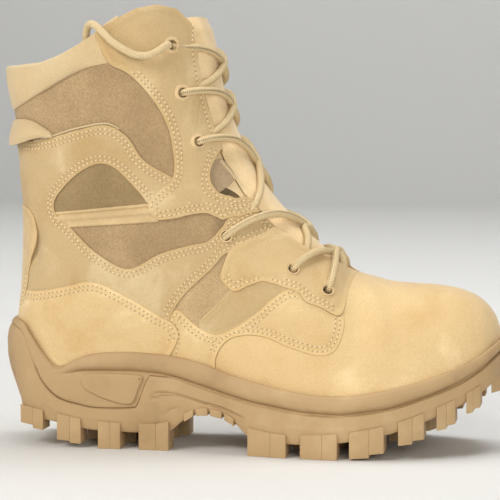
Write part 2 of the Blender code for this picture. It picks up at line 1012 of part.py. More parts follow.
def lug_blocks():
    mesh = bmesh.new()
    for rear, front, slot in EDGE_LUGS:
        for start, end in ((rear, slot - LUG_SLOT / 2), (slot + LUG_SLOT / 2, front)):
            for side in (-1, 1):
                reach = min(LUG_REACH, abs(outline_at(start, side)) * 0.6)
                corners = []
                roots = []
                for along, inset in ((start, -1), (end, -1), (end, reach), (start, reach)):
                    edge = outline_at(along, side)
                    far = edge + side * LUG_PROUD if inset < 0 else edge - side * inset
                    corners.append((along, far))
                    rise = LUG_RISE if inset < 0 else 1.5
                    roots.append(underside(along) + rise)
                block(mesh, corners, roots)
    for rear, front, half, sweep in CENTRE_LUGS:
        for side in (-1, 1):
            tip = half * side
            corners = [(rear, side * 0.5), (front, side * 0.5), (front + sweep, tip), (rear + sweep, tip)]
            block(mesh, corners, [underside(x) + 1.5 for x, _y in corners])
    toe = [(297.0, -6.0), (303.0, -2.0), (303.0, 12.0), (297.0, 18.0)]
    block(mesh, toe, [underside(x) + 3.0 for x, _y in toe])
    bmesh.ops.recalc_face_normals(mesh, faces=mesh.faces)
    return mesh


def build_upper():
    upper = place(open_surface(0.0), "upper", parts, leather)
    solidify(upper, WALL, -1.0)
    boolean(upper, notch, "DIFFERENCE")
    boolean(upper, holes, "DIFFERENCE")


def above_lip(first, last, lift, count):
    """The midsole's upper edge in side view between two places, lifted a little."""
    return [(x, lip(x) + lift) for x in np.linspace(first, last, count)]


def build_overlays():
    both = (-90.0, 90.0)
    low = OVERLAY_LOW
    counter = list(COUNTER_TOP) + above_lip(100.0, -2.0, LIP_GAP, 15) + [(-15.0, 76.5)]
    laid_on("heel_counter", counter, low, OVERLAY, both, leather)
    laid_on("quarter", QUARTER, low, OVERLAY, both, leather)
    laid_on("collar_cuff", CUFF_LINE, low, CUFF, both, collar_leather)
    leaf = list(LEAF_TOP) + above_lip(131.0, 110.0, LIP_GAP, 3)
    for side, name in ((-1, "outer"), (1, "inner")):
        reach = sorted((side * 1.0, side * 90.0))
        eyestay = laid_on("eyestay_" + name, EYESTAY, low, OVERLAY, reach, leather)
        boolean(eyestay, notch, "DIFFERENCE")
        boolean(eyestay, holes, "DIFFERENCE")
        lobe = laid_on("eyestay_foot_" + name, LOBE, low, OVERLAY, reach, leather)
        boolean(lobe, holes, "DIFFERENCE")
        laid_on("vamp_leaf_" + name, leaf, low, OVERLAY, reach, leather)
        laid_on("webbing_tab_" + name, WEBBING, -1.4, 1.0, reach, cloth)
    boolean(bpy.data.objects["quarter"], holes, "DIFFERENCE")


def build_tongue():
    mesh = bmesh.new()
    rows = []
    heights = (257, 247, 234, 220, 205, 190, 176, 163, 151, 140, 130, 121, 113, 107, 103.5)
    for height in heights:
        gap = float(lookup(THROAT[::-1], height)) if height > 109.5 else 0.0
        wide = gap + 7.5
        row = []
        for share in np.linspace(-1, 1, 9):
            across = wide * math.sin(share * math.pi / 2)
            open_here = float(ease(gap - abs(across), 1.0, 9.0))
            lift = -(WALL + 0.9) * (1 - open_here)
            point, normal = across_throat(height, across, lift)
            row.append(mesh.verts.new(point))
        rows.append(row)
    for upper, lower in zip(rows, rows[1:]):
        for i in range(len(upper) - 1):
            mesh.faces.new([upper[i], lower[i], lower[i + 1], upper[i + 1]])
    tongue = place(mesh, "tongue", parts, leather)
    solidify(tongue, TONGUE, -1.0)


def build_insole():
    inside = -(WALL + 0.4)
    rings = [
        last_ring(bed, inside, COLUMNS),
        last_ring(lambda along: bed(along) + INSOLE, inside - 0.4, COLUMNS),
    ]
    place(loft(rings), "insole", parts, lining)


def build_eyelets():
    """Each eyelet is a turned ring: a flange on the leather and a barrel through it."""
    for row, (along, height) in enumerate(EYELETS):
        flange = EYELET_FLANGE if row < RAISED_EYELETS else EYELET_RIM
        profile = (
            # radius, height above the upper
            (EYELET_HOLE / 2, EYELET_SEAT + EYELET_THICK),
            (flange / 2, EYELET_SEAT + EYELET_THICK * 0.4),
            (flange / 2, EYELET_SEAT),
            (EYELET_BARREL / 2, EYELET_SEAT),
            (EYELET_BARREL / 2, -WALL),
            (EYELET_HOLE / 2, -WALL),
        )
        for side, name in ((-1, "outer"), (1, "inner")):
            mesh = bmesh.new()
            ring = [mesh.verts.new((r, 0, z)) for r, z in profile]
            for i in range(len(ring)):
                mesh.edges.new((ring[i - 1], ring[i]))
            label = "eyelet_%s_%d" % (name, row + 1)
            eyelet = place(mesh, label, parts, brass)
            point, normal = surface(along, height, side)
            eyelet.location = point * MM
            eyelet.rotation_euler = normal.to_track_quat("Z", "Y").to_euler()
            turn = eyelet.modifiers.new("turn", "SCREW")
            turn.angle = math.radians(360)
            turn.steps = 6
            turn.render_steps = 6
            turn.use_merge_vertices = True
            turn.merge_threshold = 0.00001


def tube(name, route, diameter, sides=2, spacing=16.0):
    """A round cord along a smooth curve through the route."""
    curve = smooth(route, 12)
    steps = np.hypot(np.hypot(*np.diff(curve[:, :2], axis=0).T), np.diff(curve[:, 2]))
    length = np.concatenate([[0], np.cumsum(steps)])
    count = max(3, int(round(length[-1] / spacing)) + 1)
    even = np.linspace(0, length[-1], count)
    data = bpy.data.curves.new(name, "CURVE")
    data.dimensions = "3D"
    data.bevel_depth = diameter / 2 * MM
    data.bevel_resolution = sides
    data.use_fill_caps = True
    line = data.splines.new("POLY")
    line.points.add(count - 1)
    for point, at in zip(line.points, even):
        spot = [float(np.interp(at, length, curve[:, axis])) * MM for axis in range(3)]
        point.co = (*spot, 1.0)
    made = bpy.data.objects.new(name, data)
    parts.objects.link(made)
    made.parent = boot
    data.materials.append(cord)
    return made


def to_mesh(curve_object, group):
    """A mesh copy of a curve, with its caps welded, in place of the curve."""
    graph = bpy.context.evaluated_depsgraph_get()
    data = bpy.data.meshes.new_from_object(curve_object.evaluated_get(graph))
    mesh = bmesh.new()
    mesh.from_mesh(data)
    bmesh.ops.remove_doubles(mesh, verts=mesh.verts, dist=0.00001)
    mesh.to_mesh(data)
    mesh.free()
    name = curve_object.name
    bpy.data.objects.remove(curve_object)
    made = bpy.data.objects.new(name, data)
    group.objects.link(made)
    made.parent = boot
    return made


def eyelet_height(row):
    """Where the fan line through an eyelet meets the front line."""
    along, height = EYELETS[row]
    slope = (along - PIVOT[0]) / (height - PIVOT[1]) if height != PIVOT[1] else 1e6
    heights = np.linspace(99.0, 262.0, 600)
    fronts = front_reach(heights)
    miss = np.abs((fronts - PIVOT[0]) - slope * (heights - PIVOT[1]))
    return float(heights[np.argmin(miss)])


def strand(row, side):
    """One lace from an eyelet across the tongue to the far edge, one row lower."""
    start = eyelet_height(row)
    end = eyelet_height(row + 1)
    gap_end = float(lookup(THROAT[::-1], end))
    if row == len(EYELETS) - 2:
        end = start + (end - start) * 0.6
    along, height = EYELETS[row]
    edge = abs(surface(along, height, side)[0].y)
    route = []
    over = 3.6 + 0.15 * side
    for share, lift in ((1.0, LACE_LIFT), (0.72, LACE_LIFT), (0.35, 4.2), (0.0, over)):
        across = side * edge * share
        here = start + (end - start) * (1 - share) * 0.5
        route.append(across_throat(here, across, lift)[0])
    for share, lift in ((0.4, 3.4), (0.8, 2.7)):
        across = -side * (gap_end - 2.5) * share
        here = start + (end - start) * (0.5 + 0.5 * share)
        route.append(across_throat(here, across, lift)[0])
    return route


def build_laces():
    for row in range(len(EYELETS) - 1):
        near = to_mesh(tube("lace_crossing_%d" % (row + 1), strand(row, -1), LACE), parts)
        near.data.materials.append(cord)
        far = to_mesh(tube("crossing_%d_far" % (row + 1), strand(row, 1), LACE), cutters)
        far.hide_render = True
        far.display_type = "WIRE"
        boolean(near, far, "UNION")
    low = len(EYELETS) - 1
    here = eyelet_height(low)
    edge = abs(surface(*EYELETS[low], -1)[0].y)
    bar = [across_throat(here, edge * share, LACE_LIFT - 0.4)[0] for share in (-1, -0.6, -0.2, 0.2, 0.6, 1)]
    tube("lace_bar", bar, LACE)
    tube("lace_end", LACE_END, LACE, spacing=6.0)


def build_loop():
    """The pull loop: a strap round the back of the shaft, standing off it in the middle."""
    mesh = bmesh.new()
    marks = np.array(LOOP)
    rows = []
    steps = [(-1, along) for along in (34.0, 27.0, 20.0, 13.0, 7.0, 3.0)]
    steps += [(0, 0.0)] + [(1, along) for _side, along in steps[::-1]]
    for side, along in steps:
        middle, wide, stand = [np.interp(along, marks[:, 0], marks[:, k]) for k in (1, 2, 3)]
        back = float(back_reach(middle))
        if side == 0:
            point, normal = Vector((back, 0, middle)), Vector((-1, 0, 0))
        else:
            point, normal = surface(back + along, middle, side)
        spot = point + normal * stand
        low, high = spot - Vector((0, 0, wide / 2)), spot + Vector((0, 0, wide / 2))
        rows.append([mesh.verts.new(low), mesh.verts.new(high)])
    for left, right in zip(rows, rows[1:]):
        mesh.faces.new([left[0], left[1], right[1], right[0]])
    loop = place(mesh, "pull_loop", parts, collar_leather)
    solidify(loop, STRAP, -1.0)
    return loop


def centre_boot():
    """Moves the boot so that its box's bottom centre is the origin."""
    bpy.context.view_layer.update()
    graph = bpy.context.evaluated_depsgraph_get()
    low, high = Vector((1, 1, 1)), Vector((-1, -1, -1))
    for piece in parts.objects:
        if piece.type == "EMPTY" or piece.name == "lace_end":
            continue
        shown = piece.evaluated_get(graph)
        data = shown.to_mesh()
        for vertex in data.vertices:
            spot = shown.matrix_world @ vertex.co
            low = Vector(map(min, low, spot))
            high = Vector(map(max, high, spot))
        shown.to_mesh_clear()
    boot.location = (-(low.x + high.x) / 2, -(low.y + high.y) / 2, -low.z)


for old in list(bpy.data.objects):
    bpy.data.objects.remove(old)
parts = collection("combat_boot")
cutters = collection("cutters")
boot = bpy.data.objects.new("boot", None)
parts.objects.link(boot)
leather = material("suede", (0.62, 0.45, 0.25), 0.9)
collar_leather = material("collar_leather", (0.72, 0.56, 0.33), 0.8)
cloth = material("cloth", (0.42, 0.30, 0.17), 0.95)
rubber = material("rubber", (0.60, 0.40, 0.20), 0.7)
lining = material("lining", (0.35, 0.27, 0.16), 0.95)
cord = material("cord", (0.72, 0.60, 0.32), 0.85)
brass = material("eyelet", (0.55, 0.44, 0.25), 0.45, 0.6)
notch = prism("notch", NOTCH, -90.0, 90.0)
holes = drill(-6.0, 6.0)
build_upper()
build_midsole()
build_outsole()
build_inserts()
build_insole()
build_tongue()
build_overlays()
build_eyelets()
build_laces()
build_loop()
boot.name = "combat_boot_root"
centre_boot()
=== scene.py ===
import math

import bmesh
import bpy
import numpy as np
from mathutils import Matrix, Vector, geometry


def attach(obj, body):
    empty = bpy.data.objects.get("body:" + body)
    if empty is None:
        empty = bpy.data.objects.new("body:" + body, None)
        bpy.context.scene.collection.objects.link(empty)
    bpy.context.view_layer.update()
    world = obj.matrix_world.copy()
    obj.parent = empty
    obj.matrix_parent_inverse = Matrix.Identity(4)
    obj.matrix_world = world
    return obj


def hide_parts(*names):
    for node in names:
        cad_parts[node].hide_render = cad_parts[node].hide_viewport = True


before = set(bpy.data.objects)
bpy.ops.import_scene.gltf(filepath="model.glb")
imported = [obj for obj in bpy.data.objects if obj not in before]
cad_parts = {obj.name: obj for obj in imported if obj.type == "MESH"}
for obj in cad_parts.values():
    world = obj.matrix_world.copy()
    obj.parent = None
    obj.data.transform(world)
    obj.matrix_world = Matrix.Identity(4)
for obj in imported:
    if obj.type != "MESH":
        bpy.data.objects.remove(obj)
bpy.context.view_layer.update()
mm = 0.001


# camera, light and floor
camera = {"turn": 10.0, "tilt": 4.0, "distance": 1.25, "target": (-0.002, 0.0017, 0.118), "width": 0.304}
studioFloor = {"size": 6, "wall": 4, "curve": 1.6, "segments": 20, "colour": (0.74, 0.74, 0.73, 1),
               "rough": 0.9}
light = {"key": 9.6, "fill": 4.0, "low": 3.8, "top": 5.8, "heel": 6.4, "back": 33.0, "world": 0.48}


def deselect():
    for obj in bpy.context.selected_objects:
        obj.select_set(False)


def pick(obj):
    deselect()
    obj.select_set(True)
    bpy.context.view_layer.objects.active = obj


def addCamera(sizes):
    turn, tilt = math.radians(sizes["turn"]), math.radians(sizes["tilt"])
    back = Vector((math.sin(turn) * math.cos(tilt), -math.cos(turn) * math.cos(tilt), math.sin(tilt)))
    target = Vector(sizes["target"])
    eye = bpy.data.cameras.new("boot_camera")
    eye.sensor_width = 36.0
    eye.lens = 36.0 * sizes["distance"] / sizes["width"]
    obj = bpy.data.objects.new("boot_camera", eye)
    bpy.context.scene.collection.objects.link(obj)
    obj.location = target + back * sizes["distance"]
    obj.rotation_euler = back.to_track_quat("Z", "Y").to_euler()
    bpy.context.scene.camera = obj
    return obj


def addSoftbox(name, place, aim, size, power, colour=(1, 1, 1)):
    lamp = bpy.data.lights.new(name, "AREA")
    lamp.shape = "DISK"
    lamp.size = size
    lamp.energy = power
    lamp.color = colour
    obj = bpy.data.objects.new(name, lamp)
    bpy.context.scene.collection.objects.link(obj)
    obj.location = place
    obj.rotation_euler = (Vector(place) - Vector(aim)).to_track_quat("Z", "Y").to_euler()
    return obj


def addStudio(sizes):
    aim = (0, 0, 0.12)
    addSoftbox("key_light", (-0.75, -1.1, 1.15), aim, 0.55, sizes["key"], (1.0, 0.97, 0.92))
    addSoftbox("fill_light", (1.2, -1.3, 0.55), aim, 1.0, sizes["fill"], (0.95, 0.97, 1.0))
    addSoftbox("top_light", (0.25, 0.1, 1.4), aim, 0.8, sizes["top"])
    addSoftbox("low_light", (0.35, -0.95, 0.3), (0.04, 0, 0.05), 0.5, sizes["low"], (1.0, 0.97, 0.90))
    addSoftbox("heel_light", (-1.15, -0.75, 0.6), (-0.1, 0, 0.12), 0.7, sizes["heel"], (1.0, 0.97, 0.92))
    addSoftbox("backdrop_light", (0.0, 0.9, 2.2), (0.0, 2.6, 0.4), 2.4, sizes["back"])
    world = bpy.data.worlds.new("studio_world")
    bpy.context.scene.world = world
    world.use_nodes = True
    world.node_tree.nodes["Background"].inputs["Color"].default_value = (0.9, 0.92, 0.95, 1)
    world.node_tree.nodes["Background"].inputs["Strength"].default_value = sizes["world"]
    deselect()
    bpy.ops.mesh.primitive_plane_add(size=studioFloor["size"], location=(0, 0, 0))
    floor = bpy.context.object
    floor.name = "studio_floor"
    bpy.ops.object.mode_set(mode="EDIT")
    sheet = bmesh.from_edit_mesh(floor.data)
    far = studioFloor["size"] / 2 - 0.1
    for edge in sheet.edges:
        edge.select_set(all(vert.co.y > far for vert in edge.verts))
    bpy.ops.mesh.extrude_region_move(TRANSFORM_OT_translate={"value": (0, 0, studioFloor["wall"])})
    sheet = bmesh.from_edit_mesh(floor.data)
    for edge in sheet.edges:
        edge.select_set(all(vert.co.y > far and abs(vert.co.z) < 0.01 for vert in edge.verts))
    bpy.ops.mesh.bevel(offset=studioFloor["curve"], segments=studioFloor["segments"], affect="EDGES")
    bpy.ops.object.mode_set(mode="OBJECT")
    bpy.ops.object.shade_smooth()
    paint = bpy.data.materials.new("floor_paint")
    paint.use_nodes = True
    body = paint.node_tree.nodes["Principled BSDF"]
    body.inputs["Base Color"].default_value = studioFloor["colour"]
    body.inputs["Roughness"].default_value = studioFloor["rough"]
    floor.data.materials.append(paint)


addCamera(camera)
addStudio(light)
scene = bpy.context.scene
scene.view_settings.view_transform = "Standard"


# the last: same lines as the CAD source, mm
last = {
    "origin": (-152.028, 1.748, 0.0),
    "round": 2.3,
    "wall": 2.2,
    "heelTip": (6.0, 0.0),
    "toeTip": (303.3, 5.0),
    "collarBack": 228.0,
    "pivot": (306.0, 262.0),
    "columns": 140,
    "rows": 104,
    "turnWeight": 8.0,  # stations crowd where the outline turns
    "wander": 0.22,
    "innerFlap": {"drop": 5.0, "from": 246, "to": 265},  # the inner flap ends a little lower
    "plan": ((9.5, 14, 14), (19, 24.5, 24.5), (38, 31.5, 31.5), (66, 33.5, 32.5), (97, 34, 30),
             (128, 36.5, 29), (158, 43, 34), (186, 48.5, 41), (212, 50, 45.5), (238, 46.5, 46),
             (262, 38.5, 42), (282, 30, 36.5), (296, 18, 27)),
    "front": ((111, 300), (116, 285), (121, 268), (126, 250), (130, 232), (134, 213), (140, 194), (149, 175),
              (160, 157), (173, 141), (187, 127), (201, 115), (216, 106), (232, 101), (249, 99), (266, 98),
              (280, 95.5), (291, 90), (298.5, 81), (302.3, 70), (303.3, 61), (303.4, 52)),
    "back": ((7.5, 37), (6, 50), (6, 64), (7.5, 80), (9.5, 98), (10.5, 116), (10.5, 138), (9, 160), (7, 181),
             (4.5, 200), (2, 215), (0, 230), (-1.5, 260), (-2.5, 310)),
    "footbed": ((6, 37), (60, 36.5), (100, 36), (125, 34.5), (150, 30), (175, 24.5), (200, 21), (222, 21),
                (245, 25.5), (268, 33), (288, 42.5), (296, 47), (303.3, 52)),
    "shaft": ((60, 36), (110, 36.5), (140, 38), (170, 40), (200, 43), (230, 46), (310, 47)),
    "collar": ((12, 228), (30, 229.5), (43, 234), (53, 239), (64, 246), (71, 252), (79, 257), (89, 262.5),
               (101, 265), (111, 262.5)),
    "throat": ((254, 24), (238, 24.5), (216, 24.5), (196, 24), (176, 23.5), (156, 23), (141, 22), (127, 19),
               (116, 13.5), (109.5, 7)),
    "lean": ((9.5, 4), (19, 14), (38, 33), (66, 62), (97, 92), (128, 112), (150, 121), (170, 133), (186, 151),
             (200, 175), (212, 196), (224, 213), (240, 236), (262, 262), (282, 283), (296, 297),
             (303.3, 303.3)),
}

# soft troughs and swells pressed into the leather: path in side view, depth and half width in mm
creases = (
    {"path": ((27, 130), (26.5, 124), (25, 117), (22, 109)), "depth": -1.3, "wide": 2.6, "sides": (-1, 1)},
    {"path": ((31, 131), (31, 122), (29, 110)), "depth": 0.9, "wide": 4.0, "sides": (-1, 1)},
    {"path": ((12, 172), (20, 168), (31, 166)), "depth": -0.7, "wide": 4.5, "sides": (-1, 1)},
    {"path": ((58, 112), (72, 106), (86, 100)), "depth": 0.8, "wide": 7.0, "sides": (-1, 1)},
    {"path": ((112, 172), (120, 164), (128, 148)), "depth": -0.9, "wide": 5.0, "sides": (-1, 1)},
    {"path": ((100, 226), (103, 212), (108, 200)), "depth": 0.7, "wide": 6.0, "sides": (-1, 1)},
    {"path": ((84, 250), (92, 236), (98, 224)), "depth": -0.8, "wide": 7.0, "sides": (-1, 1)},
    {"path": ((140, 62), (168, 62), (200, 58)), "depth": 0.7, "wide": 6.0, "sides": (-1, 1)},
    {"path": ((150, 86), (176, 84), (202, 72)), "depth": 1.0, "wide": 9.0, "sides": (-1, 1)},
    {"path": ((214, 100), (218, 88), (221, 70)), "depth": -0.9, "wide": 5.0, "sides": (-1, 1)},
    {"path": ((226, 98), (231, 86), (235, 68)), "depth": 0.7, "wide": 6.0, "sides": (-1, 1)},
    {"path": ((238, 92), (243, 80), (247, 64)), "depth": -0.6, "wide": 6.0, "sides": (-1, 1)},
    {"path": ((30, 80), (60, 84), (92, 74)), "depth": 0.9, "wide": 10.0, "sides": (-1, 1)},
    {"path": ((22, 220), (30, 214), (40, 210)), "depth": -0.6, "wide": 5.0, "sides": (-1, 1)},
)


def easeStep(value, low, high):
    t = np.clip((value - low) / (high - low), 0, 1)
    return t * t * (3 - 2 * t)


def readLine(table, value):
    rows = np.array(table)
    return np.interp(value, rows[:, 0], rows[:, 1])


def runLength(points):
    return np.concatenate([[0], np.cumsum(np.linalg.norm(np.diff(points, axis=0), axis=1))])


def ringArea(ring):
    u, v = ring[:, 0], ring[:, 1]
    return 0.5 * np.sum(u * np.roll(v, -1) - np.roll(u, -1) * v)


def smoothLine(points, steps):
    rows = np.array(points, float)
    ends = np.vstack([2 * rows[0] - rows[1], rows, 2 * rows[-1] - rows[-2]])
    curve = []
    for a, b, c, d in zip(ends[:-3], ends[1:-2], ends[2:-1], ends[3:]):
        for k in range(steps):
            t = k / steps
            bend = (2 * a - 5 * b + 4 * c - d) * t * t
            curve.append(0.5 * (2 * b + (c - a) * t + bend + (3 * b - a - 3 * c + d) * t**3))
    curve.append(rows[-1])
    return np.array(curve)


def planLine(table, heel, toe, column):
    sign = -1 if column == 1 else 1
    rows = [(row[0], sign * row[column]) for row in table]
    mirrored = (rows[0][0], -rows[0][1])
    beyond = (rows[-1][0], 2 * toe[1] - rows[-1][1])
    return smoothLine([mirrored, heel] + rows + [toe, beyond], 12)[12:-12]


lastPlan = [planLine(last["plan"], last["heelTip"], last["toeTip"], column) for column in (1, 2)]
frontLine = smoothLine(last["front"], 8)
backLine = smoothLine(last["back"], 8)
footbedLine = smoothLine(last["footbed"], 8)


def frontReach(height):
    return readLine(frontLine[::-1, ::-1], height)


def backReach(height):
    return readLine(backLine[:, ::-1], height)


def lastSection(along, height):
    shaftPart = easeStep(height, 85.0, 150.0) * (1 - easeStep(along, 170.0, 215.0))
    fade = 1 - easeStep(along, 20.0, 120.0)
    eased = along - (backReach(height) - last["heelTip"][0]) * fade
    outer, inner = readLine(lastPlan[0], eased), readLine(lastPlan[1], eased)
    half, middle = (inner - outer) / 2, (inner + outer) / 2
    first = last["front"][0]
    top = np.where(along < first[0], first[1] + (first[0] - along) * 3, readLine(frontLine, along))
    bed = readLine(footbedLine, along)
    depth = np.clip((top - height) / np.maximum(top - bed, 0.5), 0, 1)
    power = last["round"]
    foot = half * (1 - (1 - depth) ** power) ** (1 / power)
    front, back = frontReach(height), backReach(height)
    share = np.clip(np.abs(along - (front + back) / 2) / ((front - back) / 2), 0, 1)
    shaft = readLine(last["shaft"], height) * (1 - share**power) ** (1 / power)
    ridge = 3 * easeStep(along, 140.0, 220.0) * (1 - depth)
    centre = (middle * depth + ridge) * (1 - shaftPart)
    return foot * (1 - shaftPart) + shaft * shaftPart, centre


def throatPoint(height, across, lift=0.0):
    spot0 = np.array((float(frontReach(height)), float(height)))
    way = (spot0 - np.array(last["pivot"])) / np.hypot(*(spot0 - np.array(last["pivot"])))
    near, far = 0.0, 45.0
    for _step in range(34):
        middle = (near + far) / 2
        half, _centre = lastSection(*(spot0 + way * middle))
        if half < abs(across):
            near = middle
        else:
            far = middle
    spot = spot0 + way * far
    side = -1 if across < 0 else 1
    _half, centre = lastSection(*spot)
    point, normal = lastPoint(spot[0], spot[1], side)
    blend = float(easeStep(abs(across), 0.0, 6.0))
    out = Vector((-way[0], 0, -way[1]))
    normal = (normal * blend + out * (1 - blend)).normalized()
    return Vector((spot[0], float(centre) + across, spot[1])) + normal * lift, normal


def lastPoint(along, height, side, lift=0.0):
    half, centre = lastSection(along, height)
    slope = []
    for da, dh in ((0.4, 0), (0, 0.4)):
        ahead, shiftAhead = lastSection(along + da, height + dh)
        behind, shiftBehind = lastSection(along - da, height - dh)
        slope.append(side * (side * (ahead - behind) + shiftAhead - shiftBehind) / 0.8)
    normal = Vector((-slope[0], side, -slope[1])).normalized()
    return Vector((float(along), float(centre + side * half), float(height))) + normal * lift, normal


def topEdge():
    start = (float(backReach(last["collarBack"])), last["collarBack"])
    throat = [(p.x, p.z) for p in (throatPoint(height, -gap)[0] for height, gap in last["throat"])]
    ridge = [tuple(row) for row in frontLine if row[0] > throat[-1][0] + 4]
    return np.array([start] + list(last["collar"]) + throat + ridge), ridge[0][0]


topLine, ridgeStart = topEdge()


def columnPoints(start, rises):
    foot = float(readLine(footbedLine, start))
    end = float(readLine(((last["heelTip"][0], float(backReach(last["collarBack"]))),) + last["lean"], start))
    top = float(readLine(topLine, end))
    height = foot + (top - foot) * rises
    fade = 1 - float(easeStep(start, 20.0, 120.0))
    bendHere = backReach(height) - last["heelTip"][0]
    bendTop = float(backReach(top)) - last["heelTip"][0]
    return start + bendHere * fade + (end - start - bendTop * fade) * rises, height, end


def gridSide(side, starts):
    grid = []
    rises = np.sin(np.linspace(0, math.pi / 2, 420))
    for start in starts:
        along, height, end = columnPoints(start, rises)
        half, centre = lastSection(along, height)
        if end >= ridgeStart:
            half[-1] = 0.0
        points = np.column_stack([along, centre + side * half, height])
        steps = runLength(points)
        even = np.linspace(0, steps[-1], last["rows"] + 1)
        grid.append(np.column_stack([np.interp(even, steps, points[:, k]) for k in range(3)]))
    return np.array(grid)


def distanceToPath(points, path):
    best = np.full(points.shape[:-1], 1e9)
    path = np.array(path, float)
    for a, b in zip(path, path[1:]):
        span = b - a
        share = np.clip(((points - a) @ span) / max(span @ span, 1e-9), 0, 1)
        best = np.minimum(best, np.linalg.norm(points - a - share[..., None] * span, axis=-1))
    return best


def gridNormals(grid):
    du = np.gradient(grid, axis=0)
    dv = np.gradient(grid, axis=1)
    normal = np.cross(dv, du)
    size = np.linalg.norm(normal, axis=-1, keepdims=True)
    return normal / np.maximum(size, 1e-9)


def planStations(plans, count, turnWeight):
    alongs = plans[0][:, 0]
    mean = np.column_stack([alongs, (np.interp(alongs, plans[1][:, 0], plans[1][:, 1]) - plans[0][:, 1]) / 2])
    moves = np.diff(mean, axis=0)
    turns = np.abs(np.gradient(np.unwrap(np.arctan2(moves[:, 1], moves[:, 0]))))
    length = np.concatenate([[0], np.cumsum(np.hypot(*moves.T) + turnWeight * turns)])
    return np.interp(np.linspace(0, length[-1], count), length, mean[:, 0])


def buildSkinGrid():
    starts = planStations(lastPlan, last["columns"], last["turnWeight"])
    outer, inner = gridSide(-1, starts), gridSide(1, starts)
    grid = np.concatenate([outer[::-1], inner[1:]])
    normals = gridNormals(grid)
    sideView = grid[:, :, (0, 2)]
    relief = np.zeros(grid.shape[:2])
    for crease in creases:
        away = distanceToPath(sideView, smoothLine(crease["path"], 4))
        press = crease["depth"] * np.exp(-((away / crease["wide"]) ** 2))
        sides = np.sign(np.arange(len(grid)) - (len(starts) - 1))
        use = np.isin(sides, crease["sides"])
        relief[use] += press[use]
    along, height = sideView[..., 0], sideView[..., 1]
    wander = last["wander"] * np.sin(along * 0.085 + height * 0.05) * np.sin(height * 0.07 + 1.1)
    relief = (relief + wander) * easeStep(grid[..., 2], 34, 60)
    return grid + normals * relief[..., None], starts


skin, columnStarts = buildSkinGrid()
middle = len(columnStarts) - 1
flap = last["innerFlap"]
skin[middle:, :, 2] -= flap["drop"] * easeStep(skin[middle:, :, 2], flap["from"], flap["to"])
skinNormals = gridNormals(skin)
skinNormals[0], skinNormals[-1] = skinNormals[1], skinNormals[-2]
acrossSteps = np.linalg.norm(np.diff(skin, axis=0), axis=-1)
skinAcross = np.concatenate([np.zeros((1, skin.shape[1])), np.cumsum(acrossSteps, axis=0)])
skinAcross -= skinAcross[middle]
upSteps = np.linalg.norm(np.diff(skin, axis=1), axis=-1)
skinUp = np.concatenate([np.zeros((skin.shape[0], 1)), np.cumsum(upSteps, axis=1)], axis=1)
print("boot: last shaped", skin.shape)


def sample(table, u, v):
    u, v = np.clip(u, 0, table.shape[0] - 1.0001), np.clip(v, 0, table.shape[1] - 1.0001)
    i, j = u.astype(int), v.astype(int)
    fu, fv = u - i, v - j
    if table.ndim == 3:
        fu, fv = fu[..., None], fv[..., None]
    low = table[i, j] * (1 - fu) + table[i + 1, j] * fu
    high = table[i, j + 1] * (1 - fu) + table[i + 1, j + 1] * fu
    return low * (1 - fv) + high * fv


def onSkin(u, v, lift=0.0):
    normal = sample(skinNormals, u, v)
    normal /= np.linalg.norm(normal, axis=-1, keepdims=True)
    return sample(skin, u, v) + normal * np.asarray(lift)[..., None]


def findOnSkin(points, side):
    first, stop = (0, middle + 1) if side < 0 else (middle, len(skin))
    part = skin[first:stop][:, :, (0, 2)]
    found = []
    for point in np.array(points, float):
        away = np.linalg.norm(part - point, axis=-1)
        i, j = np.unravel_index(np.argmin(away), away.shape)
        u, v = float(i + first), float(j)
        for _step in range(8):
            u = min(max(u, first + 0.02), stop - 1.02)
            v = min(max(v, 0.02), last["rows"] - 0.02)
            here = sample(skin, np.array([u]), np.array([v]))[0, (0, 2),]
            du = (sample(skin, np.array([u + 0.02]), np.array([v]))[0, (0, 2),] - here) / 0.02
            dv = (sample(skin, np.array([u]), np.array([v - 0.02]))[0, (0, 2),] - here) / -0.02
            matrix = np.column_stack([du, dv])
            if abs(np.linalg.det(matrix)) < 0.05:
                break
            step = np.clip(np.linalg.solve(matrix, point - here), -3, 3)
            if v + step[1] > last["rows"]:  # beyond the throat or the collar: slide along the edge
                step = np.array((np.clip((point - here) @ du / (du @ du), -3, 3), 0.5))
            u, v = u + step[0], v + step[1]
        found.append((min(max(u, first), stop - 1), min(max(v, 0), last["rows"])))
    return np.array(found)


def toWorld(points):
    return (np.asarray(points, float) + np.array(last["origin"])) * mm


def finishPiece(name, verts, faces, finish, replaced=(), smooth=30, uv=None, edge=None):
    mesh = bpy.data.meshes.new(name)
    mesh.from_pydata([tuple(v) for v in toWorld(verts)], [], faces)
    if uv is not None:
        layer = mesh.uv_layers.new(name="cloth")
        index = np.zeros(len(mesh.loops), int)
        mesh.loops.foreach_get("vertex_index", index)
        layer.data.foreach_set("uv", (np.asarray(uv)[index] * mm).ravel())
    if edge is not None:
        store = mesh.attributes.new("edgeGap", "FLOAT", "POINT")
        store.data.foreach_set("value", np.asarray(edge, float))
    mesh.materials.append(finish)
    obj = bpy.data.objects.new(name, mesh)
    bpy.context.scene.collection.objects.link(obj)
    pick(obj)
    bpy.ops.object.shade_smooth_by_angle(angle=math.radians(smooth))
    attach(obj, "root")
    if replaced:
        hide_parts(*replaced)
    return obj


